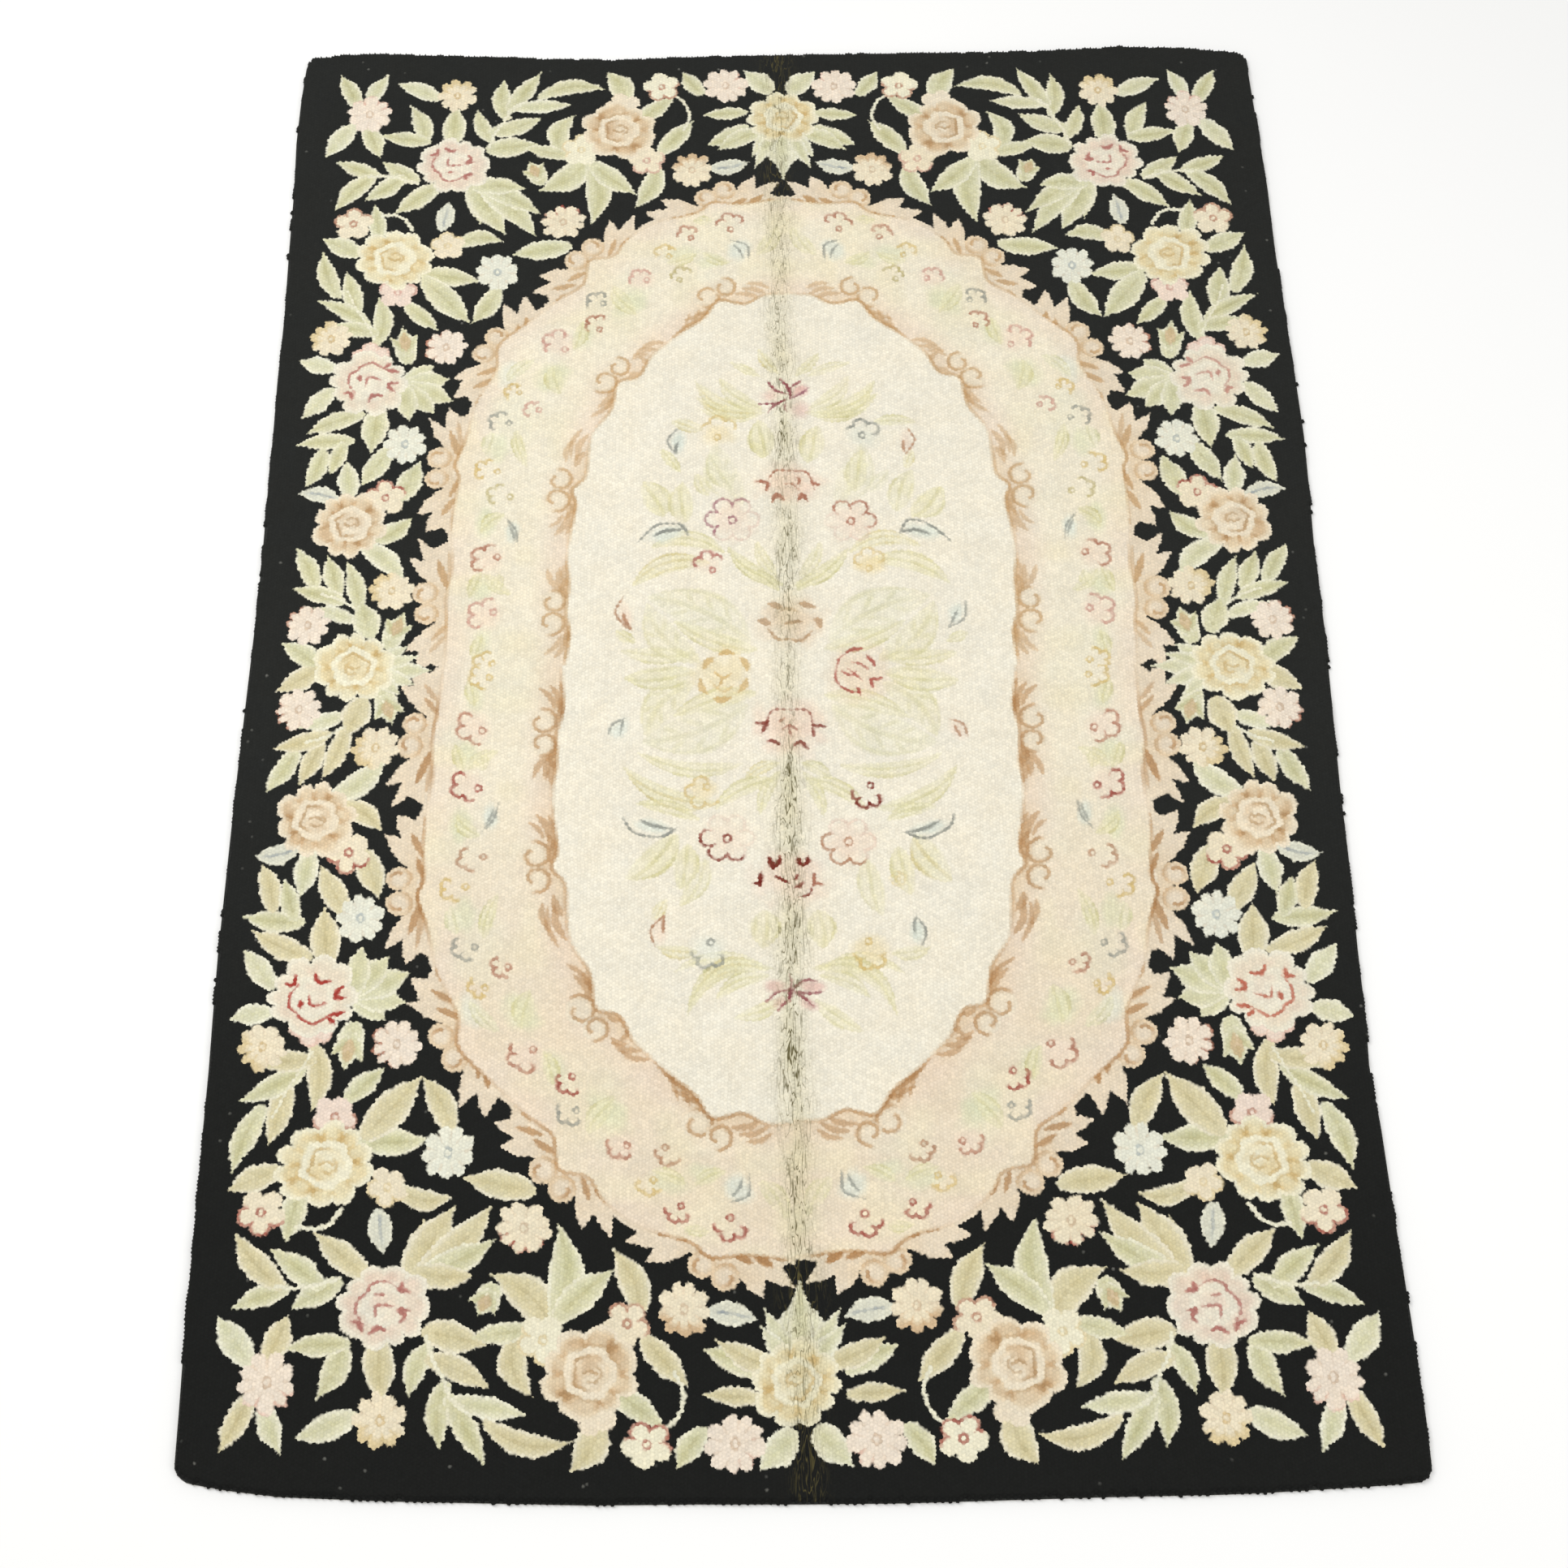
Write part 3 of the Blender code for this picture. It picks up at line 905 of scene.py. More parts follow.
# The band's small outlined flowers
BAND_FLOWERS = [
    # out, along, radius, line, lit_side, ring_out, ring_along
    (173, 560, 15, "line_pink", 60, -8, -2),
    (122, 565, 14, "line_olive", 70, 3, -7),
    (225, 525, 15, "line_grey", 55, -7, -3),
    (225, 490, 15, "brown_red", 45, -3, -8),
    (272, 462, 20, "line_pink", 45, -9, -10),
    (298, 362, 13, "line_pink", 30, -6, 0),
    (322, 388, 13, "line_gold", 35, -6, 0),
    (115, 630, 14, "brown_red", 75, -4, -6),
    (143, 600, 14, "line_gold", 65, -5, -5),
    (62, 646, 18, "brown_red", 85, 0, -9),
    (337, 345, 15, "line_grey", 30, -10, -2),
    (350, 275, 16, "line_gold", 20, -12, -2),
    (335, 240, 15, "line_olive", 20, -13, -3),
    (345, 150, 21, "brown_red", 20, -11, 3),
    (343, 75, 23, "line_pink", 20, -8, 3),
    (340, 10, 16, "line_gold", 20, -8, 0),
]
# Soft blots of other yarns in the band
BAND_BLOTS = [
    # out, along, half_out, half_along, tilt, yarn, share
    (185, 522, 18, 28, 40, "sage_mist", 0.8),
    (240, 470, 14, 20, 35, "sage_mist", 0.5),
    (275, 410, 20, 26, 25, "sage_mist", 0.75),
    (330, 415, 14, 20, 25, "mist", 0.6),
    (350, 200, 12, 24, 0, "sage_mist", 0.7),
    (350, 110, 12, 22, 0, "sage_mist", 0.7),
    (345, 40, 12, 20, 0, "sage_mist", 0.5),
    (338, 305, 13, 22, 10, "sage_mist", 0.6),
    (120, 600, 22, 14, -10, "sage_mist", 0.6),
    (52, 604, 14, 20, 30, "mist", 0.8),
    (318, 188, 8, 20, 10, "mist", 0.8),
    (85, 585, 20, 12, -10, "sage_mist", 0.6),
    (173, 560, 16, 16, 0, "blush", 0.6),
    (272, 462, 20, 20, 0, "blush", 0.6),
    (345, 150, 20, 22, 0, "blush", 0.6),
    (343, 75, 20, 22, 0, "blush", 0.6),
]
BAND_STROKES = [
    # yarn, thickness, share, from_out, from_along, by_out, by_along, to_out, to_along
    ("line_grey", 2.6, 0.7, 63, 620, 42, 612, 40, 588),
    ("line_grey", 3.4, 0.7, 58, 612, 50, 602, 47, 592),
    ("line_grey", 2.6, 0.7, 326, 207, 314, 190, 311, 170),
    ("line_grey", 3.4, 0.6, 322, 198, 317, 186, 315, 176),
]
# The big cut-edged leaves on the middle lines
MIDDLE_FANS = [
    # base_across, base_along, tips (across, along, half_width)
    (4, 812, [(5, 722, 28), (5, 706, 13), (-36, 746, 11), (-32, 727, 10), (45, 745, 11), (41, 726, 10)]),
    (0, -812, [(0, -728, 28), (0, -711, 13), (-36, -742, 11), (-40, -760, 10), (40, -742, 11), (46, -756, 10)]),
    (-474, -4, [(-418, -5, 22), (-401, -6, 12), (-430, 27, 11), (-416, 14, 9), (-418, -25, 10), (-434, -38, 10)]),
    (484, -1, [(424, -1, 22), (408, -2, 12), (436, 28, 11), (423, 15, 9), (420, -26, 10), (440, -42, 10)]),
]
# ---------------------------------------------------------------- the spray on the ivory, across and along
SPRAY_LEAVES = [
    # from_across, from_along, to_across, to_along, half_width, bow, look, share
    (-50, 218, -82, 306, 21, 8, "grey", 0.8),
    (60, 216, 92, 306, 21, -8, "grey", 0.8),
    (-30, 346, -100, 356, 7, 7, "green", 0.8),
    (34, 346, 100, 358, 7, -8, "green", 0.8),
    (-6, 406, -30, 446, 7, 2, "olive", 0.9),
    (14, 404, 44, 440, 7, -2, "green", 0.8),
    (-34, -368, -128, -378, 7, -12, "green", 0.8),
    (34, -368, 118, -380, 7, 12, "green", 0.8),
    (-10, 116, -34, 168, 8, 4, "green", 0.8),
    (14, 116, 40, 168, 8, -4, "green", 0.8),
    (-12, -136, -34, -190, 8, -4, "green", 0.9),
    (14, -136, 36, -192, 8, 4, "green", 0.9),
    (-34, 20, -130, 60, 13, 7, "green", 0.9),
    (40, 22, 134, 60, 13, -7, "green", 0.9),
    (-36, -36, -130, -66, 13, -7, "green", 0.9),
    (40, -38, 134, -68, 13, 7, "green", 0.9),
    (-108, 16, -190, 20, 11, 5, "green", 0.8),
    (108, 12, 192, 18, 11, -5, "green", 0.8),
    (-52, -126, -168, -112, 10, 14, "green", 0.8),
    (54, -128, 170, -112, 10, -14, "green", 0.8),
    (-22, 350, -106, 398, 12, 16, "olive", 1.0),
    (-24, 354, -76, 402, 11, 8, "green", 0.9),
    (-30, 350, -104, 374, 10, 10, "olive", 1.0),
    (24, 350, 110, 398, 12, -17, "green", 1.0),
    (30, 356, 78, 404, 11, -8, "green", 0.8),
    (38, 350, 112, 378, 10, -10, "green", 1.0),
    (-28, 404, -64, 426, 6, 0, "green", 0.9),
    (30, 404, 82, 424, 7, 3, "green", 0.8),
    (-20, -374, -113, -428, 11, -27, "green", 1.0),
    (-26, -376, -104, -402, 10, -19, "olive", 0.9),
    (-26, -382, -82, -408, 9, -8, "green", 0.9),
    (18, -374, 108, -428, 11, 27, "green", 1.0),
    (24, -376, 100, -402, 10, 19, "green", 1.0),
    (26, -382, 80, -408, 9, 8, "green", 0.9),
    (-14, -410, -64, -430, 9, 4, "green", 0.8),
    (22, -410, 72, -446, 9, -3, "green", 0.9),
    (-24, 284, -30, 340, 16, 0, "green", 1.3),
    (26, 278, 40, 332, 15, 0, "green", 1.1),
    (-28, -305, -32, -350, 17, 0, "green", 1.0),
    (28, -305, 32, -350, 16, 0, "green", 0.9),
    (-4, 106, -68, 160, 10, 7, "green", 1.1),
    (8, 104, 72, 158, 10, -7, "green", 1.1),
    (-8, 98, -46, 128, 7, -4, "green", 1.0),
    (12, 98, 44, 122, 7, 4, "green", 0.9),
    (-12, -126, -50, -146, 8, -4, "olive", 1.1),
    (12, -126, 46, -146, 8, 4, "green", 1.1),
    (-16, -146, -84, -184, 10, -9, "green", 1.0),
    (16, -146, 84, -186, 10, 9, "green", 1.0),
    (-142, 202, -166, 252, 17, -4, "green", 1.0),
    (-118, 192, -120, 250, 15, 3, "green", 0.9),
    (128, 208, 150, 268, 15, 3, "green", 0.9),
    (146, 202, 184, 244, 17, -5, "green", 1.0),
    (-70, 152, -158, 158, 11, -16, "green", 1.0),
    (-88, 138, -178, 106, 13, -15, "olive", 1.0),
    (72, 152, 156, 160, 11, 16, "olive", 1.0),
    (94, 140, 188, 108, 13, 16, "green", 1.0),
    (-42, 30, -160, 92, 28, -12, "grey", 1.0),
    (-100, 4, -160, 84, 20, 13, "green", 1.0),
    (46, 32, 164, 94, 28, 12, "grey", 1.0),
    (102, 6, 168, 86, 20, -13, "green", 1.0),
    (-46, -50, -164, -98, 28, 12, "grey", 1.0),
    (-106, -20, -160, -92, 20, -12, "green", 1.0),
    (48, -52, 164, -100, 28, -12, "grey", 1.0),
    (106, -22, 164, -92, 20, 12, "green", 1.0),
    (-104, -8, -186, -16, 16, 4, "green", 1.0),
    (108, -8, 192, -20, 16, -4, "green", 1.0),
    (-196, 46, -172, 30, 7, 0, "green", 1.0),
    (204, 44, 180, 32, 7, 0, "green", 0.9),
    (-146, 298, -122, 264, 7, 0, "green", 1.2),
    (150, 296, 142, 268, 7, 0, "olive", 0.9),
    (-62, 238, -88, 292, 13, 3, "grey", 0.8),
    (-90, 232, -104, 262, 9, 0, "green", 0.7),
    (82, 236, 92, 296, 13, 3, "green", 0.7),
    (100, 236, 122, 268, 9, 0, "grey", 0.6),
    (-74, -176, -184, -130, 12, 16, "olive", 1.0),
    (-100, -196, -170, -176, 9, -5, "green", 1.0),
    (92, -182, 184, -128, 12, -16, "green", 1.0),
    (104, -196, 160, -180, 8, 4, "green", 0.9),
    (-124, -214, -180, -268, 17, 6, "green", 1.0),
    (-112, -226, -122, -280, 14, 3, "green", 0.9),
    (134, -214, 172, -272, 17, -5, "olive", 0.9),
    (116, -228, 128, -288, 13, -3, "green", 0.9),
    (-92, -244, -120, -300, 12, 4, "green", 0.8),
    (80, -244, 96, -312, 14, -3, "green", 0.7),
    (-136, -292, -150, -318, 7, 0, "olive", 0.9),
    (-100, -354, -146, -348, 8, 4, "olive", 0.9),
    (104, -356, 146, -350, 8, -3, "green", 0.8),
    (106, 336, 156, 336, 8, 3, "green", 1.0),
    (-96, 326, -134, 338, 9, 0, "olive", 0.8),
]
SPRAY_BLOTS = [
    # across, along, half_across, half_along, tilt, yarn, share
    (5, 247, 40, 32, 0, "halo", 0.60),
    (3, 58, 42, 34, 0, "tan_halo", 0.75),
    (0, -82, 42, 36, 0, "halo", 0.60),
    (-2, -266, 42, 34, 0, "halo", 0.50),
    (-75, -12, 36, 36, 0, "straw", 0.60),
    (78, -8, 38, 38, 0, "tan_halo", 0.62),
    (-62, 198, 28, 28, 0, "blush", 0.6),
    (76, 196, 28, 28, 0, "blush", 0.6),
    (-70, -218, 27, 27, 0, "blush", 0.4),
    (62, -223, 28, 27, 0, "blush", 0.7),
    (-77, 320, 22, 17, 0, "straw", 0.55),
    (93, 316, 22, 18, 0, "mist_pale", 0.8),
    (-90, -348, 21, 17, 0, "mist_pale", 0.8),
    (82, -352, 19, 17, 0, "straw", 0.6),
    (-90, 136, 17, 15, 0, "blush", 0.4),
    (97, 136, 19, 16, 0, "straw", 0.8),
    (-97, -158, 18, 15, 0, "straw", 0.6),
    (19, 382, 13, 9, 20, "bow_pink", 0.75),
    (-16, 374, 14, 12, 0, "bow_pink", 0.40),
    (18, 354, 15, 16, -40, "bow_pink", 0.40),
    (-18, -394, 13, 8, 0, "bow_pink", 0.5),
    (20, -395, 13, 7, 0, "bow_pink", 0.55),
    (14, -413, 12, 8, -30, "bow_pink", 0.5),
    (-14, -413, 10, 7, 30, "bow_pink", 0.5),
    (-140, 178, 24, 12, 18, "mist", 0.95),
    (158, 180, 24, 12, -14, "mist", 0.95),
    (-152, -204, 24, 9, -12, "mist", 0.9),
    (150, -206, 24, 9, 12, "mist", 0.9),
    (-126, 308, 10, 17, -10, "mist", 1.0),
    (145, 308, 8, 17, 5, "blush", 0.7),
    (-142, -330, 8, 16, 0, "blush", 0.6),
    (133, -330, 9, 16, 0, "mist", 1.0),
    (-184, 66, 9, 20, 14, "blush", 0.7),
    (192, 68, 9, 18, -14, "mist", 0.8),
    (-190, -82, 10, 16, -20, "mist", 0.8),
    (188, -86, 10, 16, 20, "blush", 0.6),
]
SPRAY_FLOWERS = [
    # across, along, radius, petals, line, lit_side, reach, thickness, share, ring_across, ring_along
    (-62, 198, 33, 6, "line_pink", 0, 3.2, 2.2, 0.28, 0, -1),
    (-62, 198, 33, 6, "plum", 140, 1.5, 2.2, 0.78, 0, -1),
    (76, 196, 31, 6, "line_pink", 0, 3.2, 2.2, 0.20, 0, -1),
    (76, 196, 31, 6, "brown_red", 62, 1.5, 2.1, 0.82, 0, -1),
    (-70, -218, 31, 6, "line_pink", 0, 3.2, 2.2, 0.14, 0, -1),
    (-70, -218, 31, 6, "dark_red", 232, 1.35, 2.1, 0.85, 0, -1),
    (62, -223, 31, 6, "line_pink", 0, 3.2, 2.2, 0.24, 0, 0),
    (62, -223, 31, 6, "line_brown", 232, 1.4, 2.2, 0.85, 0, 0),
    (-77, 325, 22, 5, "line_gold", 88, 1.45, 2.3, 0.62, -2, -10),
    (93, 320, 22, 5, "line_grey", 75, 1.5, 2.4, 0.85, -1, -3),
    (-90, -356, 19, 5, "line_grey", 262, 1.6, 2.5, 0.80, 2, 13),
    (82, -358, 18, 5, "line_gold", 270, 1.7, 2.4, 0.80, -2, 16),
    (-90, 137, 18, 5, "dusty_red", 110, 1.6, 2.4, 0.85, 5, -9),
    (96, 140, 19, 5, "line_gold", 100, 1.9, 2.2, 0.60, -1, -10),
    (-96, -162, 21, 5, "line_gold", 200, 2.3, 2.2, 0.60, 4, 7),
    (84, -165, 18, 5, "dark_red", 262, 1.7, 2.6, 0.90, 4, 11),
    (114, -268, 9, 5, "line_gold", 0, 3.2, 1.6, 0.35, 0, 0),
]
SPRAY_STROKES = [
    # yarn, thickness, share, from_across, from_along, by_across, by_along, to_across, to_along
    # the far bow
    ("plum_deep", 4.4, 0.85, -4, 399, 6, 385, 8, 369),
    ("plum_deep", 3.6, 0.80, -19, 396, -10, 383, 5, 376),
    ("plum_deep", 2.7, 0.75, 22, 398, 12, 389, 6, 383),
    ("plum", 2.9, 0.90, 30, 387, 19, 376, 8, 371),
    ("plum_deep", 2.7, 0.80, -30, 363, -10, 363, 4, 369),
    ("plum_deep", 2.5, 0.75, -19, 350, -12, 359, 1, 367),
    ("plum_deep", 2.2, 0.70, 4, 350, 1, 357, 3, 365),
    # the near bow
    ("plum_deep", 3.2, 0.75, 25, -388, 10, -388, -3, -400),
    ("plum_deep", 3.2, 0.70, 30, -401, 12, -403, -2, -400),
    ("plum_deep", 3.0, 0.75, 20, -417, 10, -408, 0, -402),
    ("plum_deep", 3.2, 0.75, -30, -412, -18, -402, -6, -399),
    ("plum_deep", 3.0, 0.75, -18, -423, -10, -414, -5, -408),
    ("plum_deep", 2.8, 0.65, -5, -380, -3, -390, -3, -400),
    ("plum_deep", 5.0, 0.85, -4, -395, -4, -403, -5, -412),
    # small curled leaves
    ("line_grey", 2.6, 0.80, -127, 327, -138, 310, -130, 292),
    ("line_grey", 4.2, 0.85, -125, 309, -128, 300, -128, 292),
    ("line_brown", 2.6, 0.75, 146, 328, 154, 310, 143, 290),
    ("line_brown", 4.0, 0.75, 141, 310, 140, 300, 142, 293),
    ("line_brown", 2.6, 0.85, -137, -311, -152, -328, -147, -348),
    ("line_brown", 3.6, 0.85, -138, -312, -138, -320, -139, -331),
    ("line_grey", 2.6, 0.80, 132, -312, 142, -330, 137, -347),
    ("line_grey", 3.4, 0.75, 132, -314, 129, -322, 130, -332),
    # blue leaves
    ("line_grey", 2.6, 0.80, -172, 166, -150, 190, -124, 192),
    ("line_grey", 4.8, 0.85, -153, 175, -140, 182, -120, 184),
    ("line_grey", 4.2, 0.80, -126, 193, -118, 186, -113, 176),
    ("line_grey", 3.0, 0.85, 132, 178, 142, 196, 161, 195),
    ("line_grey", 3.0, 0.85, 160, 195, 176, 182, 191, 167),
    ("line_grey", 4.8, 0.85, 134, 180, 150, 183, 166, 177),
    ("line_grey", 3.0, 0.85, -184, -193, -172, -211, -150, -217),
    ("line_grey", 3.0, 0.85, -150, -217, -137, -215, -124, -205),
    ("line_grey", 4.2, 0.80, -166, -195, -150, -203, -130, -207),
    ("line_grey", 3.0, 0.85, 122, -212, 145, -219, 163, -212),
    ("line_grey", 3.0, 0.85, 163, -212, 174, -203, 178, -189),
    ("line_grey", 4.6, 0.85, 124, -212, 145, -207, 163, -197),
    # outermost small leaves
    ("line_brown", 2.6, 0.75, -187, 93, -196, 70, -180, 47),
    ("line_brown", 4.4, 0.80, -187, 70, -184, 58, -177, 47),
    ("line_grey", 2.4, 0.65, 204, 86, 201, 62, 182, 49),
    ("line_grey", 3.4, 0.65, 194, 74, 188, 60, 184, 51),
    ("line_grey", 2.4, 0.70, -201, -88, -197, -76, -183, -68),
    ("line_grey", 3.2, 0.70, -185, -69, -187, -80, -188, -90),
    ("line_brown", 2.6, 0.70, 179, -70, 193, -76, 198, -92),
    ("line_brown", 3.2, 0.70, 183, -77, 186, -84, 190, -92),
    # far red rose
    ("brown_red", 2.4, 0.80, -19, 254, -11, 265, 6, 265),
    ("brown_red", 2.4, 0.80, 5, 265, 26, 263, 35, 239),
    ("brown_red", 4.6, 0.85, -34, 251, -27, 251, -20, 250),
    ("brown_red", 5.2, 0.85, -21, 251, -20, 246, -22, 238),
    ("brown_red", 4.6, 0.85, 30, 250, 35, 247, 41, 247),
    ("brown_red", 6.0, 0.85, -15, 222, -10, 231, -2, 224),
    ("brown_red", 6.0, 0.85, 14, 222, 20, 231, 26, 223),
    ("brown_red", 2.4, 0.75, -1, 246, 8, 246, 16, 239),
    ("brown_red", 4.0, 0.75, 12, 256, 17, 253, 15, 246),
    # tan rose
    ("rose_brown", 9.0, 0.60, -21, 81, -14, 79, -7, 76),
    ("rose_brown", 8.0, 0.60, 13, 81, 22, 80, 31, 77),
    ("rose_brown", 9.0, 0.60, -33, 60, -26, 58, -20, 53),
    ("rose_brown", 8.0, 0.60, 30, 62, 36, 58, 38, 50),
    ("rose_brown", 5.0, 0.70, -3, 53, 5, 56, 17, 57),
    ("rose_brown", 4.0, 0.65, -22, 48, -12, 34, 2, 33),
    ("rose_brown", 4.0, 0.65, 0, 33, 16, 32, 28, 46),
    ("tan", 4.0, 0.55, -10, 70, 0, 74, 12, 70),
    # near dusty rose
    ("dark_red", 2.2, 0.60, -25, -80, -20, -60, 0, -59),
    ("dark_red", 2.2, 0.60, 0, -59, 22, -60, 26, -84),
    ("dark_red", 4.4, 0.70, -38, -74, -30, -75, -23, -73),
    ("dark_red", 5.0, 0.70, -25, -72, -27, -80, -31, -88),
    ("dark_red", 4.0, 0.70, 24, -78, 32, -78, 41, -79),
    ("dark_red", 3.6, 0.70, 26, -80, 26, -85, 27, -92),
    ("dark_red", 5.4, 0.72, -24, -98, -17, -99, -11, -104),
    ("dark_red", 5.4, 0.72, 4, -106, 12, -100, 20, -108),
    ("dark_red", 2.8, 0.55, -9, -84, 0, -79, 9, -85),
    ("dark_red", 2.6, 0.55, -1, -79, 0, -86, 2, -92),
    ("brown_red", 3.6, 0.60, -12, -74, -9, -72, -5, -69),
    # near red rose
    ("dark_red", 6.4, 0.90, -26, -242, -22, -249, -20, -257),
    ("dark_red", 5.2, 0.90, -13, -241, -14, -248, -19, -255),
    ("dark_red", 6.4, 0.90, 6, -242, 8, -249, 12, -254),
    ("dark_red", 5.2, 0.90, 18, -241, 17, -248, 12, -253),
    ("dark_red", 5.6, 0.90, -33, -260, -34, -269, -35, -277),
    ("dark_red", 3.8, 0.85, -43, -273, -38, -273, -33, -271),
    ("brown_red", 4.4, 0.85, 24, -261, 24, -268, 23, -277),
    ("brown_red", 3.4, 0.80, 23, -274, 28, -274, 34, -274),
    ("dark_red", 3.8, 0.85, -18, -265, -10, -270, -3, -274),
    ("dark_red", 3.8, 0.85, 7, -263, 5, -267, 1, -270),
    ("dark_red", 4.2, 0.85, 2, -279, 7, -278, 12, -273),
    ("dark_red", 2.2, 0.75, 22, -276, 18, -287, 6, -291),
    # gold rose at the left
    ("rose_gold", 8.0, 0.72, -96, -4, -92, 4, -84, 10),
    ("rose_gold", 8.0, 0.78, -78, 14, -70, 18, -62, 16),
    ("rose_gold", 8.0, 0.72, -54, 10, -48, 3, -46, -6),
    ("rose_gold", 8.0, 0.68, -47, -18, -50, -27, -56, -34),
    ("rose_gold", 8.0, 0.78, -66, -42, -75, -45, -84, -42),
    ("rose_gold", 8.0, 0.68, -92, -36, -98, -28, -99, -18),
    ("rose_gold", 3.0, 0.78, -84, -8, -74, -16, -64, -10),
    ("rose_gold", 3.0, 0.78, -75, -16, -76, -23, -80, -28),
    ("rose_gold", 2.8, 0.45, -88, -20, -74, -34, -60, -24),
    # red rose at the right
    ("rose_line", 4.8, 0.85, 66, 17, 75, 21, 85, 22),
    ("rose_line", 2.4, 0.75, 54, -8, 57, 8, 68, 17),
    ("rose_line", 4.8, 0.85, 88, 14, 93, 8, 98, -1),
    ("rose_line", 2.4, 0.75, 53, -8, 53, -18, 58, -26),
    ("rose_line", 3.6, 0.80, 57, -26, 68, -34, 81, -35),
    ("rose_line", 4.6, 0.80, 80, -39, 79, -34, 76, -28),
    ("rose_line", 4.8, 0.85, 95, -29, 93, -22, 91, -16),
    ("rose_line", 4.2, 0.80, 91, -17, 98, -18, 105, -16),
    ("rose_line", 2.6, 0.75, 60, -8, 70, -13, 77, -7),
    ("rose_line", 2.6, 0.75, 67, -4, 75, -12, 83, -20),
    ("rose_line", 2.4, 0.70, 72, 4, 82, 2, 90, -5),
]
# How worn the fold is, and how much painted shade it gets, place by place along the rug
FOLD_WEAR_AND_SHADE = [
    # along, share
    (-930, 0.6), (-850, 0.7), (-700, 0.7), (-640, 0.9), (-560, 0.7), (-450, 1.0), (-385, 0.6), (-330, 1.0),
    (-280, 0.5), (-220, 0.8), (-150, 1.0), (-90, 0.4), (-20, 0.6), (40, 0.4), (90, 0.7), (160, 0.85), (220, 0.5),
    (260, 0.4), (310, 0.95), (350, 0.7), (390, 0.5), (430, 0.75), (480, 0.55), (600, 0.55), (760, 0.6), (930, 0.5),
]


# ---------------------------------------------------------------- how the quarters differ
# The design is drawn four times, once a quarter, and handwork sets each motif a little off. Where some motifs
# stand in each quarter, in mm out from the design's middle lines:
STANDS = [
    # motif_out, motif_along, far_left, far_right, near_left, near_right (each: out, along)
    (523, 828, (523, 828), (519, 831), (524, 809), (521, 804)),
    (411, 859, (411, 859), (410, 864), (410, 848), (412, 845)),
    (410, 742, (410, 742), (409, 743), (413, 732), (408, 733)),
    (471, 842, (471, 842), (473, 846), (477, 829), (472, 826)),
    (531, 649, (531, 649), (538, 653), (544, 637), (530, 635)),
    (420, 660, (420, 660), (425, 669), (424, 657), (420, 650)),
    (477, 592, (477, 592), (478, 595), (480, 585), (472, 580)),
    (349, 571, (349, 571), (358, 579), (357, 573), (350, 571)),
    (497, 402, (497, 402), (510, 406), (508, 401), (499, 391)),
    (407, 456, (407, 456), (420, 462), (416, 453), (411, 450)),
    (547, 469, (547, 469), (562, 475), (556, 455), (550, 455)),
    (449, 313, (449, 313), (464, 317), (463, 307), (453, 304)),
    (507, 199, (507, 199), (521, 202), (520, 187), (510, 186)),
    (453, 107, (453, 107), (463, 112), (459, 98), (457, 100)),
    (547, 61, (547, 61), (552, 66), (549, 49), (548, 49)),
    (67, 874, (67, 874), (72, 872), (65, 870), (72, 866)),
    (203, 799, (203, 799), (211, 803), (207, 801), (214, 791)),
    (110, 733, (110, 733), (117, 733), (115, 737), (116, 733)),
    (270, 650, (270, 650), (280, 651), (277, 653), (275, 645)),
    (92, 532, (92, 532), (108, 532), (102, 542), (97, 538)),
    (214, 404, (214, 404), (228, 410), (225, 415), (218, 408)),
    (404, 283, (404, 283), (419, 293), (420, 281), (408, 276)),
    (268, 78, (268, 78), (278, 81), (274, 80), (271, 76)),
    (62, 204, (62, 204), (77, 203), (69, 217), (62, 217)),
    (437, 158, (437, 158), (446, 165), (448, 153), (440, 150)),
]
QUARTERS = [
    # side out, side along, column of STANDS
    (-1, 1, 2),
    (1, 1, 3),
    (-1, -1, 4),
    (1, -1, 5),
]


def middle_line(along):
    """How far the design's long middle line stands across the rug, at a place along it."""
    return 0.8 + 4.2 * np.tanh(along / 160)


def quarter_places(x, y, side_x, side_y, column_no):
    """Places on the rug turned into one quarter's own, out and along, with that quarter's unevenness."""
    out, along = abs(x - middle_line(y)), abs(y)
    push = np.zeros((2, len(x)))
    weight = np.full(len(x), 1e-9)
    for row in STANDS:
        u, v = row[column_no]
        # read against the rug's outline, so first against its middle lines
        here_x, here_y = side_x * u, side_y * v - 6.5
        u, v = abs(here_x - middle_line(here_y)), abs(here_y)
        w = 1 / (((out - u) ** 2 + (along - v) ** 2) + 900.0) ** 1.6
        push[0] += w * (u - row[0])
        push[1] += w * (v - row[1])
        weight += w
    return out - push[0] / weight, along - push[1] / weight


def design(x, y):
    """The yarn colour at each place of the rug, in mm."""
    x, y = np.asarray(x, float), np.asarray(y, float)
    # the design's own axes: its middle stands a little off the rug's
    dx, dy = x + 1.3, y + 1.0
    colour = np.zeros((len(x), 3))
    for side_x, side_y, column_no in QUARTERS:
        mine = np.nonzero(((dx - middle_line(dy)) * side_x >= 0) & (dy * side_y >= 0))[0]
        if not len(mine):
            continue
        out, along = quarter_places(dx[mine], dy[mine], side_x, side_y, column_no)
        c = Cloth(out, along)
        quarter(c, side_x, side_y)
        colour[mine] = c.colour
    whole = Cloth(dx, dy)
    whole.colour = colour
    middles(whole)
    return fold_shade(x, y, whole.colour)


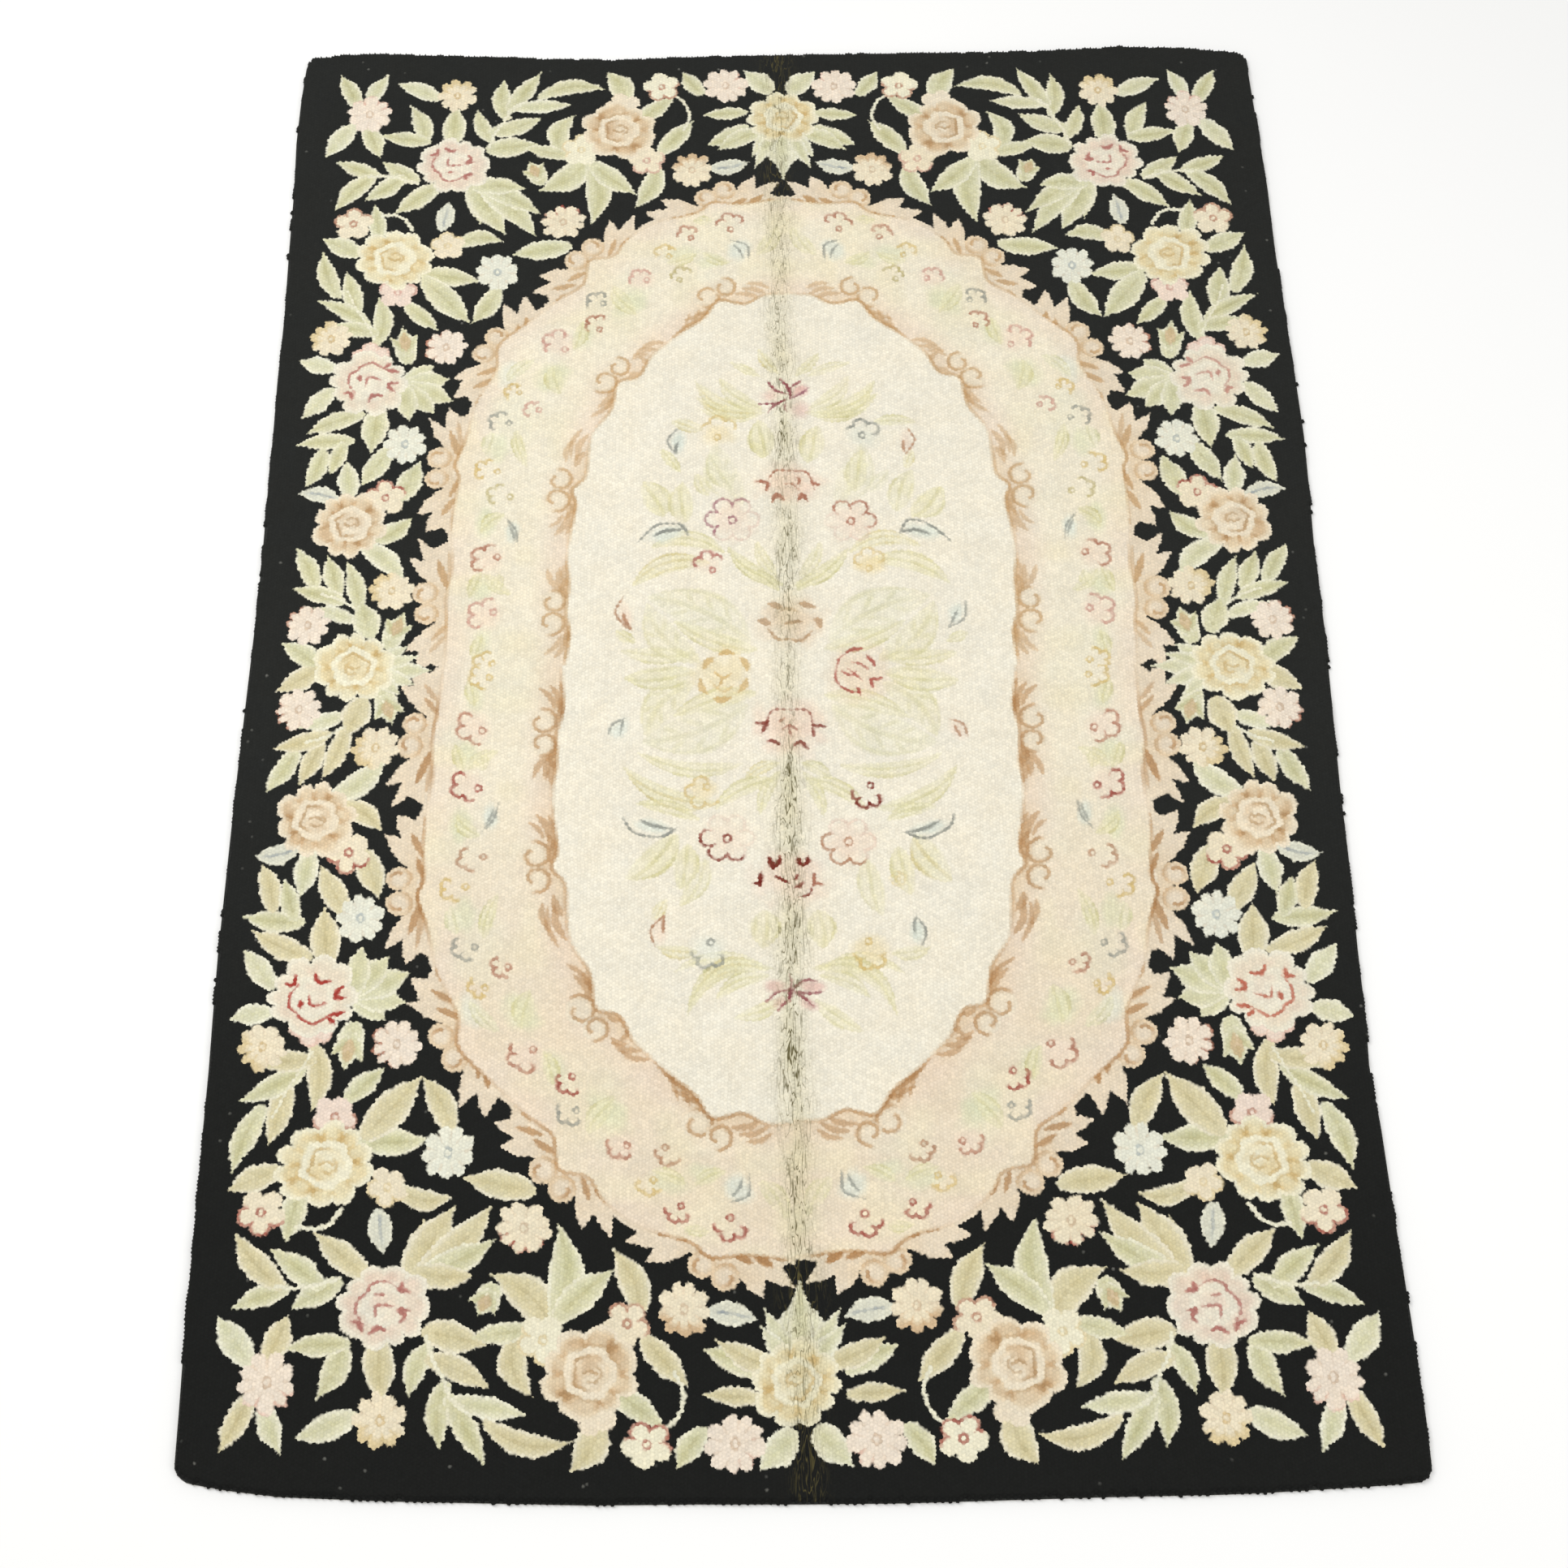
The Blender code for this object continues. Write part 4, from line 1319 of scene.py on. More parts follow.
def fold_zone(x, y):
    """How worn a place of the fold is, and how much painted shade it gets, 0 to 1 (mm)."""
    c = fold_at(y / 1000)[0] * 1000
    worn_and_shaded = np.interp(y, [row[0] for row in FOLD_WEAR_AND_SHADE], [row[1] for row in FOLD_WEAR_AND_SHADE])
    off = x + SHIFT_X * 1000 - c - 3 * noise(x * 0, y, 80, 71)
    spread = 15 + 3 * noise(x * 0, y, 50, 72)
    return worn_and_shaded * np.exp(-((off / spread) ** 2))


def fold_shade(x, y, colour):
    """Painted shade in the fold: light yarns darken towards olive grey where the parted loops let the eye down between
    them.
    """
    zone = fold_zone(x, y) * (0.8 + 0.25 * noise(x, y * 0.3, 9, 92))
    light = smooth(0.9, 1.6, colour.sum(1))
    return blend(colour, rgb("fold"), np.clip(0.50 * zone * light, 0, 1))


def fan(c, bx, by, tips, look="sage"):
    for tx, ty, half in tips:
        leaf(c, bx, by, tx, ty, half, 0, look, belly=0.5, ribbed=False)


def curl(c, cx, cy, radius, mouth, hand, tan, outline_only=False):
    """The rolled end of a scroll."""
    idx = c.near(cx, cy, radius + 6)
    px, py = c.x[idx] - cx, c.y[idx] - cy
    r, a = np.hypot(px, py), np.arctan2(py, px)
    ok = r < radius
    if outline_only:
        c.hook(idx[ok], blend(rgb("scroll_light"), rgb("band"), 0.5), 0.85 * smooth(1.0, 0.85, r[ok] / radius), solid=False)
    else:
        c.hook(idx[ok], blend(rgb("scroll_light"), rgb("scroll"), 0.9 * smooth(0.35, 1.0, r[ok] / radius)))
    turn = ((a - np.radians(mouth)) * hand) % (2 * np.pi)
    arm = radius * (0.98 - 0.60 * (turn / (2 * np.pi)) ** 1.6)
    line = smooth(3.2, 0.8, abs(r - arm)) * smooth(0.1, 0.7, turn)
    if not outline_only:
        line = line * (0.12 + 0.88 * smooth(3.6, 5.2, turn))
    else:
        # the roll is rounded: its shade fades inwards from the outline
        line = np.maximum(line, 0.30 * smooth(6.0, 0.5, arm - r) * (r < arm) * smooth(0.1, 0.7, turn))
    c.hook(idx, rgb(tan), (0.54 if outline_only else 0.62) * line, solid=False)
    # the roll's shaded side
    crescent = smooth(0.45, 0.95, r / radius) * (r < radius) * smooth(0.2, 1.0, np.cos(a - np.arctan2(-cy / 683**2, -cx / 390**2)))
    c.hook(idx, rgb(tan), (0.18 if outline_only else 0.28) * crescent, solid=False)


def arm(c, root, mouth, tip_a, notch_a, tip_b, notch_b, end):
    """One arm of the outer frame, cut-edged towards the black and smooth towards the band."""

    def within(p, by=16.0):
        step = np.array([p[0] / 390**2, p[1] / 683**2])
        return np.array(p) - by * step / np.hypot(*step)

    def bowed(a, b, by):
        a, b = np.array(a, float), np.array(b, float)
        across = np.array([(b - a)[1], -(b - a)[0]]) / np.hypot(*(b - a))
        middle = (a + b) / 2
        # to the side away from the band
        return middle + by * across * np.sign(across @ (middle - within(middle)))

    outline = np.array(
        [root, mouth, bowed(mouth, tip_a, 4.0), tip_a, notch_a, bowed(notch_a, tip_b, 1.5), tip_b, notch_b, end]
        + [within(end), within(root)]
    )
    low, high = outline.min(0), outline.max(0)
    idx = c.near(*((low + high) / 2), (high - low).max() / 2 + 3)
    x, y = c.x[idx], c.y[idx]
    ok = inside(x + 1.0 * noise(x, y, 5.5, 45), y + 1.0 * noise(x, y, 5.5, 46), outline)
    far = np.hypot(x[ok] - root[0], y[ok] - root[1])
    shade = np.clip(0.50 * smooth(60, 15, far) + 0.25 * noise(x[ok], y[ok], 18, 47), 0, 1)
    c.hook(idx[ok], blend(rgb("scroll_light"), rgb("scroll"), shade))


def to_curls(x, y, curls):
    """Distance to the nearest curl."""
    return np.min([np.hypot(x - row[0], y - row[1]) for row in curls], axis=0)


def medallion(c, near):
    """The ivory middle, the band round it and the two scrolled frames."""
    frame = curve(FRAME_LINE, 6)
    field = curve(FIELD_LINE, 6)
    closed_frame = np.vstack([frame, [(-20, -20)]])
    closed_field = np.vstack([field, [(-20, -20)]])
    reach = np.nonzero((c.x < 450) & (c.y < 760))[0]
    if not len(reach):
        return
    x, y = c.x[reach], c.y[reach]
    in_frame = inside(x, y, closed_frame)
    tan = "scroll_near" if near else "scroll_tan"
    in_field = inside(x, y, closed_field)
    d_frame, _ = to_line(x, y, frame)
    d_field, _ = to_line(x, y, field)
    # outer frame's solid part
    at_curl = smooth(80, 22, to_curls(x, y, CURLS))
    at_inner = smooth(85, 22, to_curls(x, y, INNER_CURLS))
    roots = sorted({row[0] for row in FRAME_ARMS})
    body = (~in_frame) & (d_frame < 5.5 + 9 * smooth(30, 14, to_curls(x, y, roots)))
    c.hook(reach[body], rgb("scroll_light"))
    for row in FRAME_ARMS:
        arm(c, *row)
    for cx, cy, r, mouth, hand in CURLS:
        curl(c, cx, cy, r, mouth, hand, tan)
    for fx, fy, tx, ty, thick, share in FRAME_STREAKS:
        stroke(c, [(fx, fy), (tx, ty)], thick * 1.3, tan, min(0.95, share * (1.4 if near else 1.25)))
    # the band: palest in its middle, rosier towards both scrolls and towards the near end
    idx = reach[in_frame]
    xf, yf, df, dd = x[in_frame], y[in_frame], d_frame[in_frame], d_field[in_frame]
    col = np.tile(rgb("band"), (len(idx), 1))
    if near:
        col = blend(col, rgb("band_near"), 0.80 * smooth(60, 420, yf))
    col = blend(col, rgb("band_pink"), 0.6 * smooth(40, 4, df))
    drift = noise(xf, yf, 46, 5)
    col = blend(col, rgb("band_green"), 0.30 * smooth(0.1, 0.8, drift))
    col = blend(col, rgb("band_yellow"), 0.45 * smooth(0.0, 0.8, -noise(xf, yf, 38, 8)))
    col = blend(col, rgb("band_rose"), 0.55 * smooth(46, 6, dd))
    col = blend(col, rgb("scroll"), ((0.14 if near else 0.04) + 0.46 * at_inner[in_frame]) * (1.1 if near else 0.85) * smooth(28, 2, dd))
    c.hook(idx, col)
    line = smooth(2.8, 0.5, abs(d_frame - 0.4)) * (0.40 + 0.25 * noise(x, y, 30, 3)) * (0.10 + 0.90 * at_curl)
    c.hook(reach, rgb(tan), np.clip(line * (1.3 if near else 1.0), 0, 0.9) * (in_frame | (d_frame < 5)), solid=False)
    for row in BAND_BLOTS:
        smudge(c, *row)
    for row in BAND_LEAVES:
        ghost(c, *row)
    for fx, fy, tx, ty, thick in INNER_STREAKS:
        mx, my = (fx + tx) / 2 + 0.12 * (ty - fy), (fy + ty) / 2 - 0.12 * (tx - fx)
        stroke(c, [(fx, fy), (mx, my), (tx, ty)], thick + 1.6, tan, 0.44 if near else 0.36)
    for cx, cy, r, mouth, hand in INNER_CURLS:
        curl(c, cx, cy, r, mouth, hand, tan, outline_only=True)
    for out, along, radius, yarn, side, ring_out, ring_along in BAND_FLOWERS:
        if near:
            yarn = DEEPER.get(yarn, yarn)
        petals5(c, out, along, radius, yarn, side, 0.02 * out, ring=(ring_out, ring_along), wide=2.4)
    for yarn, thick, share, *places in BAND_STROKES:
        stroke(c, [places[0:2], places[2:4], places[4:6]], thick, yarn, share)
    # the ivory middle
    idx = reach[in_field]
    c.hook(idx, rgb("field"))
    edge = smooth(3.6, 0.8, d_field) * (0.48 + 0.25 * noise(x, y, 22, 4)) * (0.12 + 0.88 * at_inner)
    c.hook(reach, rgb(tan), np.clip(edge, 0, 0.8), solid=False)


# The near half kept stronger lines
DEEPER = {"line_pink": "brown_red", "brown_red": "deep_red", "line_olive": "line_brown"}
# What each quarter's red rose is drawn in
RED_LINES = {(-1, 1): "dusty_red", (1, 1): "line_pink", (-1, -1): "bright_red", (1, -1): "brick"}


def quarter(c, side_x=-1, side_y=1):
    near = side_y < 0
    c.slim = 0.94 if near else 0.895
    # the black is a little darker towards the near end
    c.colour = c.colour * (1.02 - 0.26 * smooth(0, 800, c.y if near else -c.y))[:, None]
    medallion(c, near)
    for bx, by, tx, ty, half, bow, look in LEAVES:
        if near and look == "sage" and (bx * 7 + by * 3) % 5 < 3:
            look = "near"
        leaf(c, bx, by, tx, ty, half, bow, look)
    for wide, pts in STEMS:
        stem(c, pts, wide)
    for bx, by, tips in FANS:
        fan(c, bx, by, tips)
    for bx, by, tx, ty, half, look, heart in BUDS:
        bud(c, bx, by, tx, ty, half, look, heart)
    for x, y, r, fill, line, side, turn in SMALL_FLOWERS:
        idx = c.near(x, y, r * 1.1)
        px, py = c.x[idx] - x, c.y[idx] - y
        rr, a = np.hypot(px, py), np.arctan2(py, px)
        edge = r * (0.66 + 0.34 * abs(np.cos((a - turn) * 2.5)) ** 0.5)
        ok = rr < edge
        c.hook(idx[ok], rgb(fill))
        if near:
            line = DEEPER.get(line, line)
        petals5(c, x, y, r, line, side, turn, share=0.7)
    for x, y, r, look, side, turn in DAISY_PLACES:
        daisy(c, x, y, r * (0.965 if near else 0.94), look, side, turn)
    for x, y, r, look, turn, lobes in ROSE_PLACES:
        r = r * (0.985 if near else 0.97)
        rose(c, x, y, r, look, turn, lobes, line_yarn=RED_LINES[side_x, side_y] if look == "red" else None)


def middles(c):
    """The flowers on the design's middle lines and the spray on the ivory."""
    for bx, by, tips in MIDDLE_FANS:
        fan(c, bx, by, tips, "pale")
    for x, y, r, look, turn, lobes in MIDDLE_ROSES:
        rose(c, x, y, r, look, turn, lobes)
    for row in SPRAY_LEAVES:
        ghost(c, *row)
    for row in SPRAY_BLOTS:
        smudge(c, *row)
    for x, y, r, petals, yarn, side, reach, thick, share, ring_x, ring_y in SPRAY_FLOWERS:
        petals5(c, x, y, r, yarn, side, 0.0 if petals == 6 else 0.5, petals, reach, wide=thick, share=share, ring=(ring_x, ring_y))
    for yarn, thick, share, *places in SPRAY_STROKES:
        stroke(c, [places[0:2], places[2:4], places[4:6]], thick, yarn, share)




# ---------------------------------------------------------------- the loops
PITCH = 0.00425  # from one loop to the next
RELIEF = 0.0012  # how far the hollows between loops lie under their tops
BLOCKS_ACROSS, BLOCKS_ALONG = 3, 5
AROUND = [(1, 0), (0, 1), (-1, 1), (-1, 0), (0, -1), (1, -1)]


def lattice():
    """Every place of the loops' hexagon net, and which of them are loop tops."""
    a = PITCH / np.sqrt(3)
    rows = int(RUG_LENGTH / 2 / (a * np.sqrt(3) / 2)) + 4
    cols = int(RUG_WIDTH / 2 / a) + 4
    j = np.arange(-rows, rows + 1)
    k = np.arange(-cols, cols + 1)
    kk, jj = np.meshgrid(k, j)
    ii = kk - jj // 2
    x = a * (kk + 0.5 * (jj % 2))
    y = a * np.sqrt(3) / 2 * jj
    return x, y, (ii - jj) % 3 == 0, jj


def pile():
    """The loops' mesh as arrays: places, triangles, which loop each belongs to, and the loops' middles."""
    x, y, top, jj = lattice()
    shape = x.shape
    mm_x, mm_y = x.ravel() * 1000, y.ravel() * 1000
    # Hand hooking is uneven: rows drift, and no loop sits quite in line
    ids = np.arange(mm_x.size)
    step_x = 1.1 * noise(mm_x, mm_y, 17, 41) + 0.5 * (hashed(ids, ids * 0 + 3, 11) - 0.5) * 2 * 0.9
    step_y = 1.1 * noise(mm_x, mm_y, 19, 42) + 0.5 * (hashed(ids, ids * 0 + 7, 12) - 0.5) * 2 * 0.9
    px, py = (mm_x + step_x) / 1000, (mm_y + step_y) / 1000
    ragged = 0.0007 * noise(mm_x, mm_y, 9, 51) + 0.0005 * noise(mm_x, mm_y, 26, 52)
    inside_by = inward(px, py) + ragged
    top = top.ravel() & (inside_by > 0.0008)
    loops = np.nonzero(top)[0]
    row, col = np.divmod(loops, shape[1])
    odd = jj.ravel()[loops] % 2
    ring = []
    for di, dj in AROUND:
        # whole steps along the slanted axes, as steps of row and column of the square table
        new_j = jj.ravel()[loops] + dj
        new_k = (col - shape[1] // 2) - jj.ravel()[loops] // 2 + di + new_j // 2
        ring.append((row + dj) * shape[1] + new_k + shape[1] // 2)
    ring = np.stack(ring, 1)
    met = np.bincount(ring.ravel(), minlength=mm_x.size)
    z = rolled(inside_by)
    z += ridge(px, py) * np.clip(inside_by / EDGE_ROLL, 0, 1)
    z += 0.00030 * noise(mm_x, mm_y, 34, 61) + 0.00022 * noise(mm_x, mm_y, 11, 62)
    z += 0.00035 * (hashed(ids, ids * 0 + 1, 13) - 0.5)
    hollow = ~top
    z[hollow] -= RELIEF * (0.75 + 0.5 * hashed(ids, ids * 0 + 2, 14))[hollow]
    # In the fold the rows part, and the eye looks down between them
    gap = parting(px * 1000, py * 1000)
    z[hollow] -= 0.0010 * gap[hollow]
    z = np.maximum(z, 0.0021)
    z[(met > 0) & (met < 3) & hollow] = 0.0019
    tri = np.stack([np.stack([loops, ring[:, n], ring[:, (n + 1) % 6]], 1) for n in range(6)], 1)
    return px, py, z, loops, ring, tri


def parting(x, y):
    """How far the loops part at a place in the fold, 0 to 1 (mm)."""
    zone = fold_zone(x, y)
    wander = x + 2.5 * noise(x, y * 0.5, 14, 73)
    line = 1 - np.clip(abs(noise(wander, y * 0.16, 5.0, 74)) / 0.30, 0, 1)
    return np.clip(line * zone * 1.3, 0, 1)


def mesh_from(name, co, tri, normals=None):
    mesh = bpy.data.meshes.new(name)
    mesh.vertices.add(len(co))
    mesh.vertices.foreach_set("co", np.ascontiguousarray(co, np.float32).ravel())
    mesh.loops.add(tri.size)
    mesh.loops.foreach_set("vertex_index", tri.astype(np.int32).ravel())
    mesh.polygons.add(len(tri))
    mesh.polygons.foreach_set("loop_start", np.arange(0, tri.size, 3, dtype=np.int32))
    mesh.polygons.foreach_set("loop_total", np.full(len(tri), 3, np.int32))
    mesh.update(calc_edges=True)
    mesh.shade_smooth()
    if normals is not None:
        mesh.normals_split_custom_set_from_vertices(normals.tolist())
    obj = bpy.data.objects.new(name, mesh)
    bpy.context.scene.collection.objects.link(obj)
    return obj


def linear(c):
    c = np.clip(c, 0, 1)
    return np.where(c <= 0.04045, c / 12.92, ((c + 0.055) / 1.055) ** 2.4)


def paint(mesh, colours, domain):
    layer = mesh.color_attributes.new("yarn", "FLOAT_COLOR", domain)
    data = np.ones((len(colours), 4), np.float32)
    data[:, :3] = linear(colours)
    layer.data.foreach_set("color", data.ravel())
    mesh.color_attributes.active_color = layer


def make_pile():
    px, py, z, loops, ring, tri = pile()
    co = np.stack([px, py, z], 1)
    # One set of normals for the whole pile, so the blocks' borders don't show
    flat = tri.reshape(-1, 3)
    face = np.cross(co[flat[:, 1]] - co[flat[:, 0]], co[flat[:, 2]] - co[flat[:, 0]])
    normals = np.stack(
        [
            np.bincount(flat.ravel(), np.repeat(face[:, k], 3), minlength=len(co))
            for k in range(3)
        ],
        1,
    )
    normals /= np.maximum(np.linalg.norm(normals, axis=1, keepdims=True), 1e-12)
    # Yarn colours at each loop's middle and towards its six hollows
    cx, cy = px[loops] * 1000, py[loops] * 1000
    hx = cx[:, None] + 0.5 * (px[ring] * 1000 - cx[:, None])
    hy = cy[:, None] + 0.5 * (py[ring] * 1000 - cy[:, None])
    all_x = np.concatenate([cx, hx.ravel()])
    all_y = np.concatenate([cy, hy.ravel()])
    colour = design(all_x, all_y)
    n = len(loops)
    middle, around = colour[:n], colour[n:].reshape(n, 6, 3)
    middle, around = handwork(cx, cy, loops, middle, around)
    # painted shade: the colour towards each loop's six hollows is darkened, and darker still where the rows part in
    # the fold
    gap = parting(px[ring] * 1000, py[ring] * 1000)
    around = around * (0.93 - 0.10 * gap)[..., None]
    corner = np.empty((n, 6, 3, 3))
    for k in range(6):
        corner[:, k, 0] = middle
        corner[:, k, 1] = around[:, k]
        corner[:, k, 2] = around[:, (k + 1) % 6]
    block_x = np.clip(((cx / 1000 / RUG_WIDTH) + 0.5) * BLOCKS_ACROSS, 0, BLOCKS_ACROSS - 1e-6).astype(int)
    block_y = np.clip(((cy / 1000 / RUG_LENGTH) + 0.5) * BLOCKS_ALONG, 0, BLOCKS_ALONG - 1e-6).astype(int)
    made = []
    for bx in range(BLOCKS_ACROSS):
        for by in range(BLOCKS_ALONG):
            mine = np.nonzero((block_x == bx) & (block_y == by))[0]
            used, local = np.unique(tri[mine].ravel(), return_inverse=True)
            obj = mesh_from(
                f"pile_{bx + 1}_{by + 1}", co[used], local.reshape(-1, 3), normals[used]
            )
            paint(obj.data, corner[mine].reshape(-1, 3), "CORNER")
            # painted shade: how strongly the fold's thin dark gap lines show
            gap_shade_share = obj.data.attributes.new("fold_gap_shade", "FLOAT", "POINT")
            gap_shade_share.data.foreach_set("value", fold_zone(px[used] * 1000, py[used] * 1000).astype(np.float32))
            made.append(obj)
    return made


def handwork(x, y, loops, middle, around):
    """Each loop's own shade: dye lots, faded yarn and a little lint on the black."""
    ids = loops
    shade = 1 + 0.028 * (hashed(ids, ids * 0 + 5, 21) - 0.5) * 2
    shade *= 1 + 0.012 * noise(x, y, 23, 22) + 0.007 * noise(x, y, 7, 23)
    warm = 0.005 * noise(x, y, 31, 24) + 0.006 * (hashed(ids, ids * 0 + 6, 25) - 0.5)
    tint = np.stack([1 + warm, 1 + 0 * warm, 1 - 1.6 * warm], 1)
    middle = middle * shade[:, None] * tint
    around = around * shade[:, None, None] * tint[:, None, :]
    dark = middle.sum(1) < 0.9
    speck = dark & (hashed(ids, ids * 0 + 8, 26) > 0.9985 - 0.002 * (inward(x / 1000, y / 1000) < 0.05))
    share = (0.25 + 0.5 * hashed(ids, ids * 0 + 9, 27)) * speck
    middle = blend(middle, rgb("lint"), share)
    return middle, around


# ---------------------------------------------------------------- the cotton ground, with its hem turned under
GROUND_TOP = 0.0023
HEM = 0.022
GROUND_ACROSS, GROUND_ALONG = 150, 228


def ground_outline(u, v):
    """A place of the ground's net, -1 to 1 both ways, on the rug's uneven outline."""
    x, y = u * (RUG_WIDTH / 2), v * (RUG_LENGTH / 2)
    for _ in range(3):
        left = -RUG_WIDTH / 2 + edge_in(LONG_EDGES, 1, y)
        right = RUG_WIDTH / 2 - edge_in(LONG_EDGES, 2, y)
        near = -RUG_LENGTH / 2 + edge_in(SHORT_EDGES, 2, x)
        far = RUG_LENGTH / 2 - edge_in(SHORT_EDGES, 1, x)
        x = (left + right) / 2 + u * (right - left) / 2
        y = (near + far) / 2 + v * (far - near) / 2
    # a square corner is drawn in to a quarter circle
    dx, dy = (1 - abs(u)) * RUG_WIDTH / 2, (1 - abs(v)) * RUG_LENGTH / 2
    a = np.clip(1 - dx / CORNER_RADIUS, 0, 1)
    b = np.clip(1 - dy / CORNER_RADIUS, 0, 1)
    x = x - np.sign(u) * CORNER_RADIUS * a * (1 - np.sqrt(1 - b * b / 2))
    y = y - np.sign(v) * CORNER_RADIUS * b * (1 - np.sqrt(1 - a * a / 2))
    return x - SHIFT_X, y - SHIFT_Y


def make_ground():
    nx, ny = GROUND_ACROSS, GROUND_ALONG
    # closer lines next to the edge, for the hem's own step
    def places(count, half):
        marks = np.array([0.0, 0.004, 0.012, HEM - 0.002, HEM, HEM + 0.002]) / half
        inner = np.linspace(-1 + marks[-1] + 0.004 / half, 1 - marks[-1] - 0.004 / half, count - 2 * len(marks) + 1)
        return np.concatenate([-1 + marks, inner, (1 - marks)[::-1]])

    us, vs = places(nx, RUG_WIDTH / 2), places(ny, RUG_LENGTH / 2)
    uu, vv = np.meshgrid(us, vs)
    x, y = ground_outline(uu, vv)
    # the zigzag of the outer loops stands a little past the cloth's edge
    shrink_x, shrink_y = 1 - 0.0008 / (RUG_WIDTH / 2), 1 - 0.0008 / (RUG_LENGTH / 2)
    x, y = x * shrink_x, y * shrink_y
    inside_by = np.minimum((1 - abs(uu)) * RUG_WIDTH / 2, (1 - abs(vv)) * RUG_LENGTH / 2)
    t = np.clip((inside_by - HEM + 0.002) / 0.004, 0, 1)
    z = 0.0007 * t * t * (3 - 2 * t) + 0.00008 * (1 + noise(x * 1000, y * 1000, 15, 81))
    z[inside_by < 0.003] += 0.0003
    rows, cols = x.shape
    under = np.stack([x.ravel(), y.ravel(), z.ravel()], 1)
    idx = np.arange(rows * cols).reshape(rows, cols)
    quads = np.stack([idx[:-1, :-1].ravel(), idx[1:, :-1].ravel(), idx[1:, 1:].ravel(), idx[:-1, 1:].ravel()], 1)
    rim = np.concatenate([idx[0, :-1], idx[:-1, -1], idx[-1, :0:-1], idx[:0:-1, 0]])
    side = under[rim].copy()
    levels = []
    for height, spread in ((0.0011, 0.0005), (GROUND_TOP, -0.0004)):
        ring = side.copy()
        out = side[:, :2] / np.linalg.norm(side[:, :2], axis=1, keepdims=True)
        ring[:, :2] += out * spread
        ring[:, 2] = height
        levels.append(ring)
    n = len(rim)
    co = np.concatenate([under] + levels)
    base = len(under)
    bands = [rim, base + np.arange(n), base + n + np.arange(n)]
    faces = [tuple(q) for q in quads]
    for low, high in zip(bands[:-1], bands[1:]):
        for k in range(n):
            m = (k + 1) % n
            faces.append((low[k], low[m], high[m], high[k]))
    faces.append(tuple(bands[-1]))
    mesh = bpy.data.meshes.new("ground")
    mesh.from_pydata(co.tolist(), [], [tuple(int(i) for i in f) for f in faces])
    mesh.update()
    mesh.shade_smooth()
    mesh.set_sharp_from_angle(angle=0.8)
    obj = bpy.data.objects.new("ground", mesh)
    bpy.context.scene.collection.objects.link(obj)
    # The wool shows through the cloth from behind, under a hem of plain cloth
    colours = design(co[:, 0] * 1000, co[:, 1] * 1000)
    cloth = rgb("cloth")
    depth = inward(co[:, 0], co[:, 1])
    share = np.where(depth < HEM, 0.04, 0.62) * (0.85 + 0.15 * noise(co[:, 0] * 1000, co[:, 1] * 1000, 12, 82))
    share[base:] = 0.0
    colours = blend(np.tile(cloth, (len(co), 1)), colours, share)
    colours[base:] = rgb("black") * 1.4
    paint(mesh, colours, "POINT")
    return obj


# ---------------------------------------------------------------- materials
def nodes_of(material):
    material.use_nodes = True
    tree = material.node_tree
    shader = tree.nodes["Principled BSDF"]
    return tree, shader


def link(tree, a, b):
    tree.links.new(a, b)


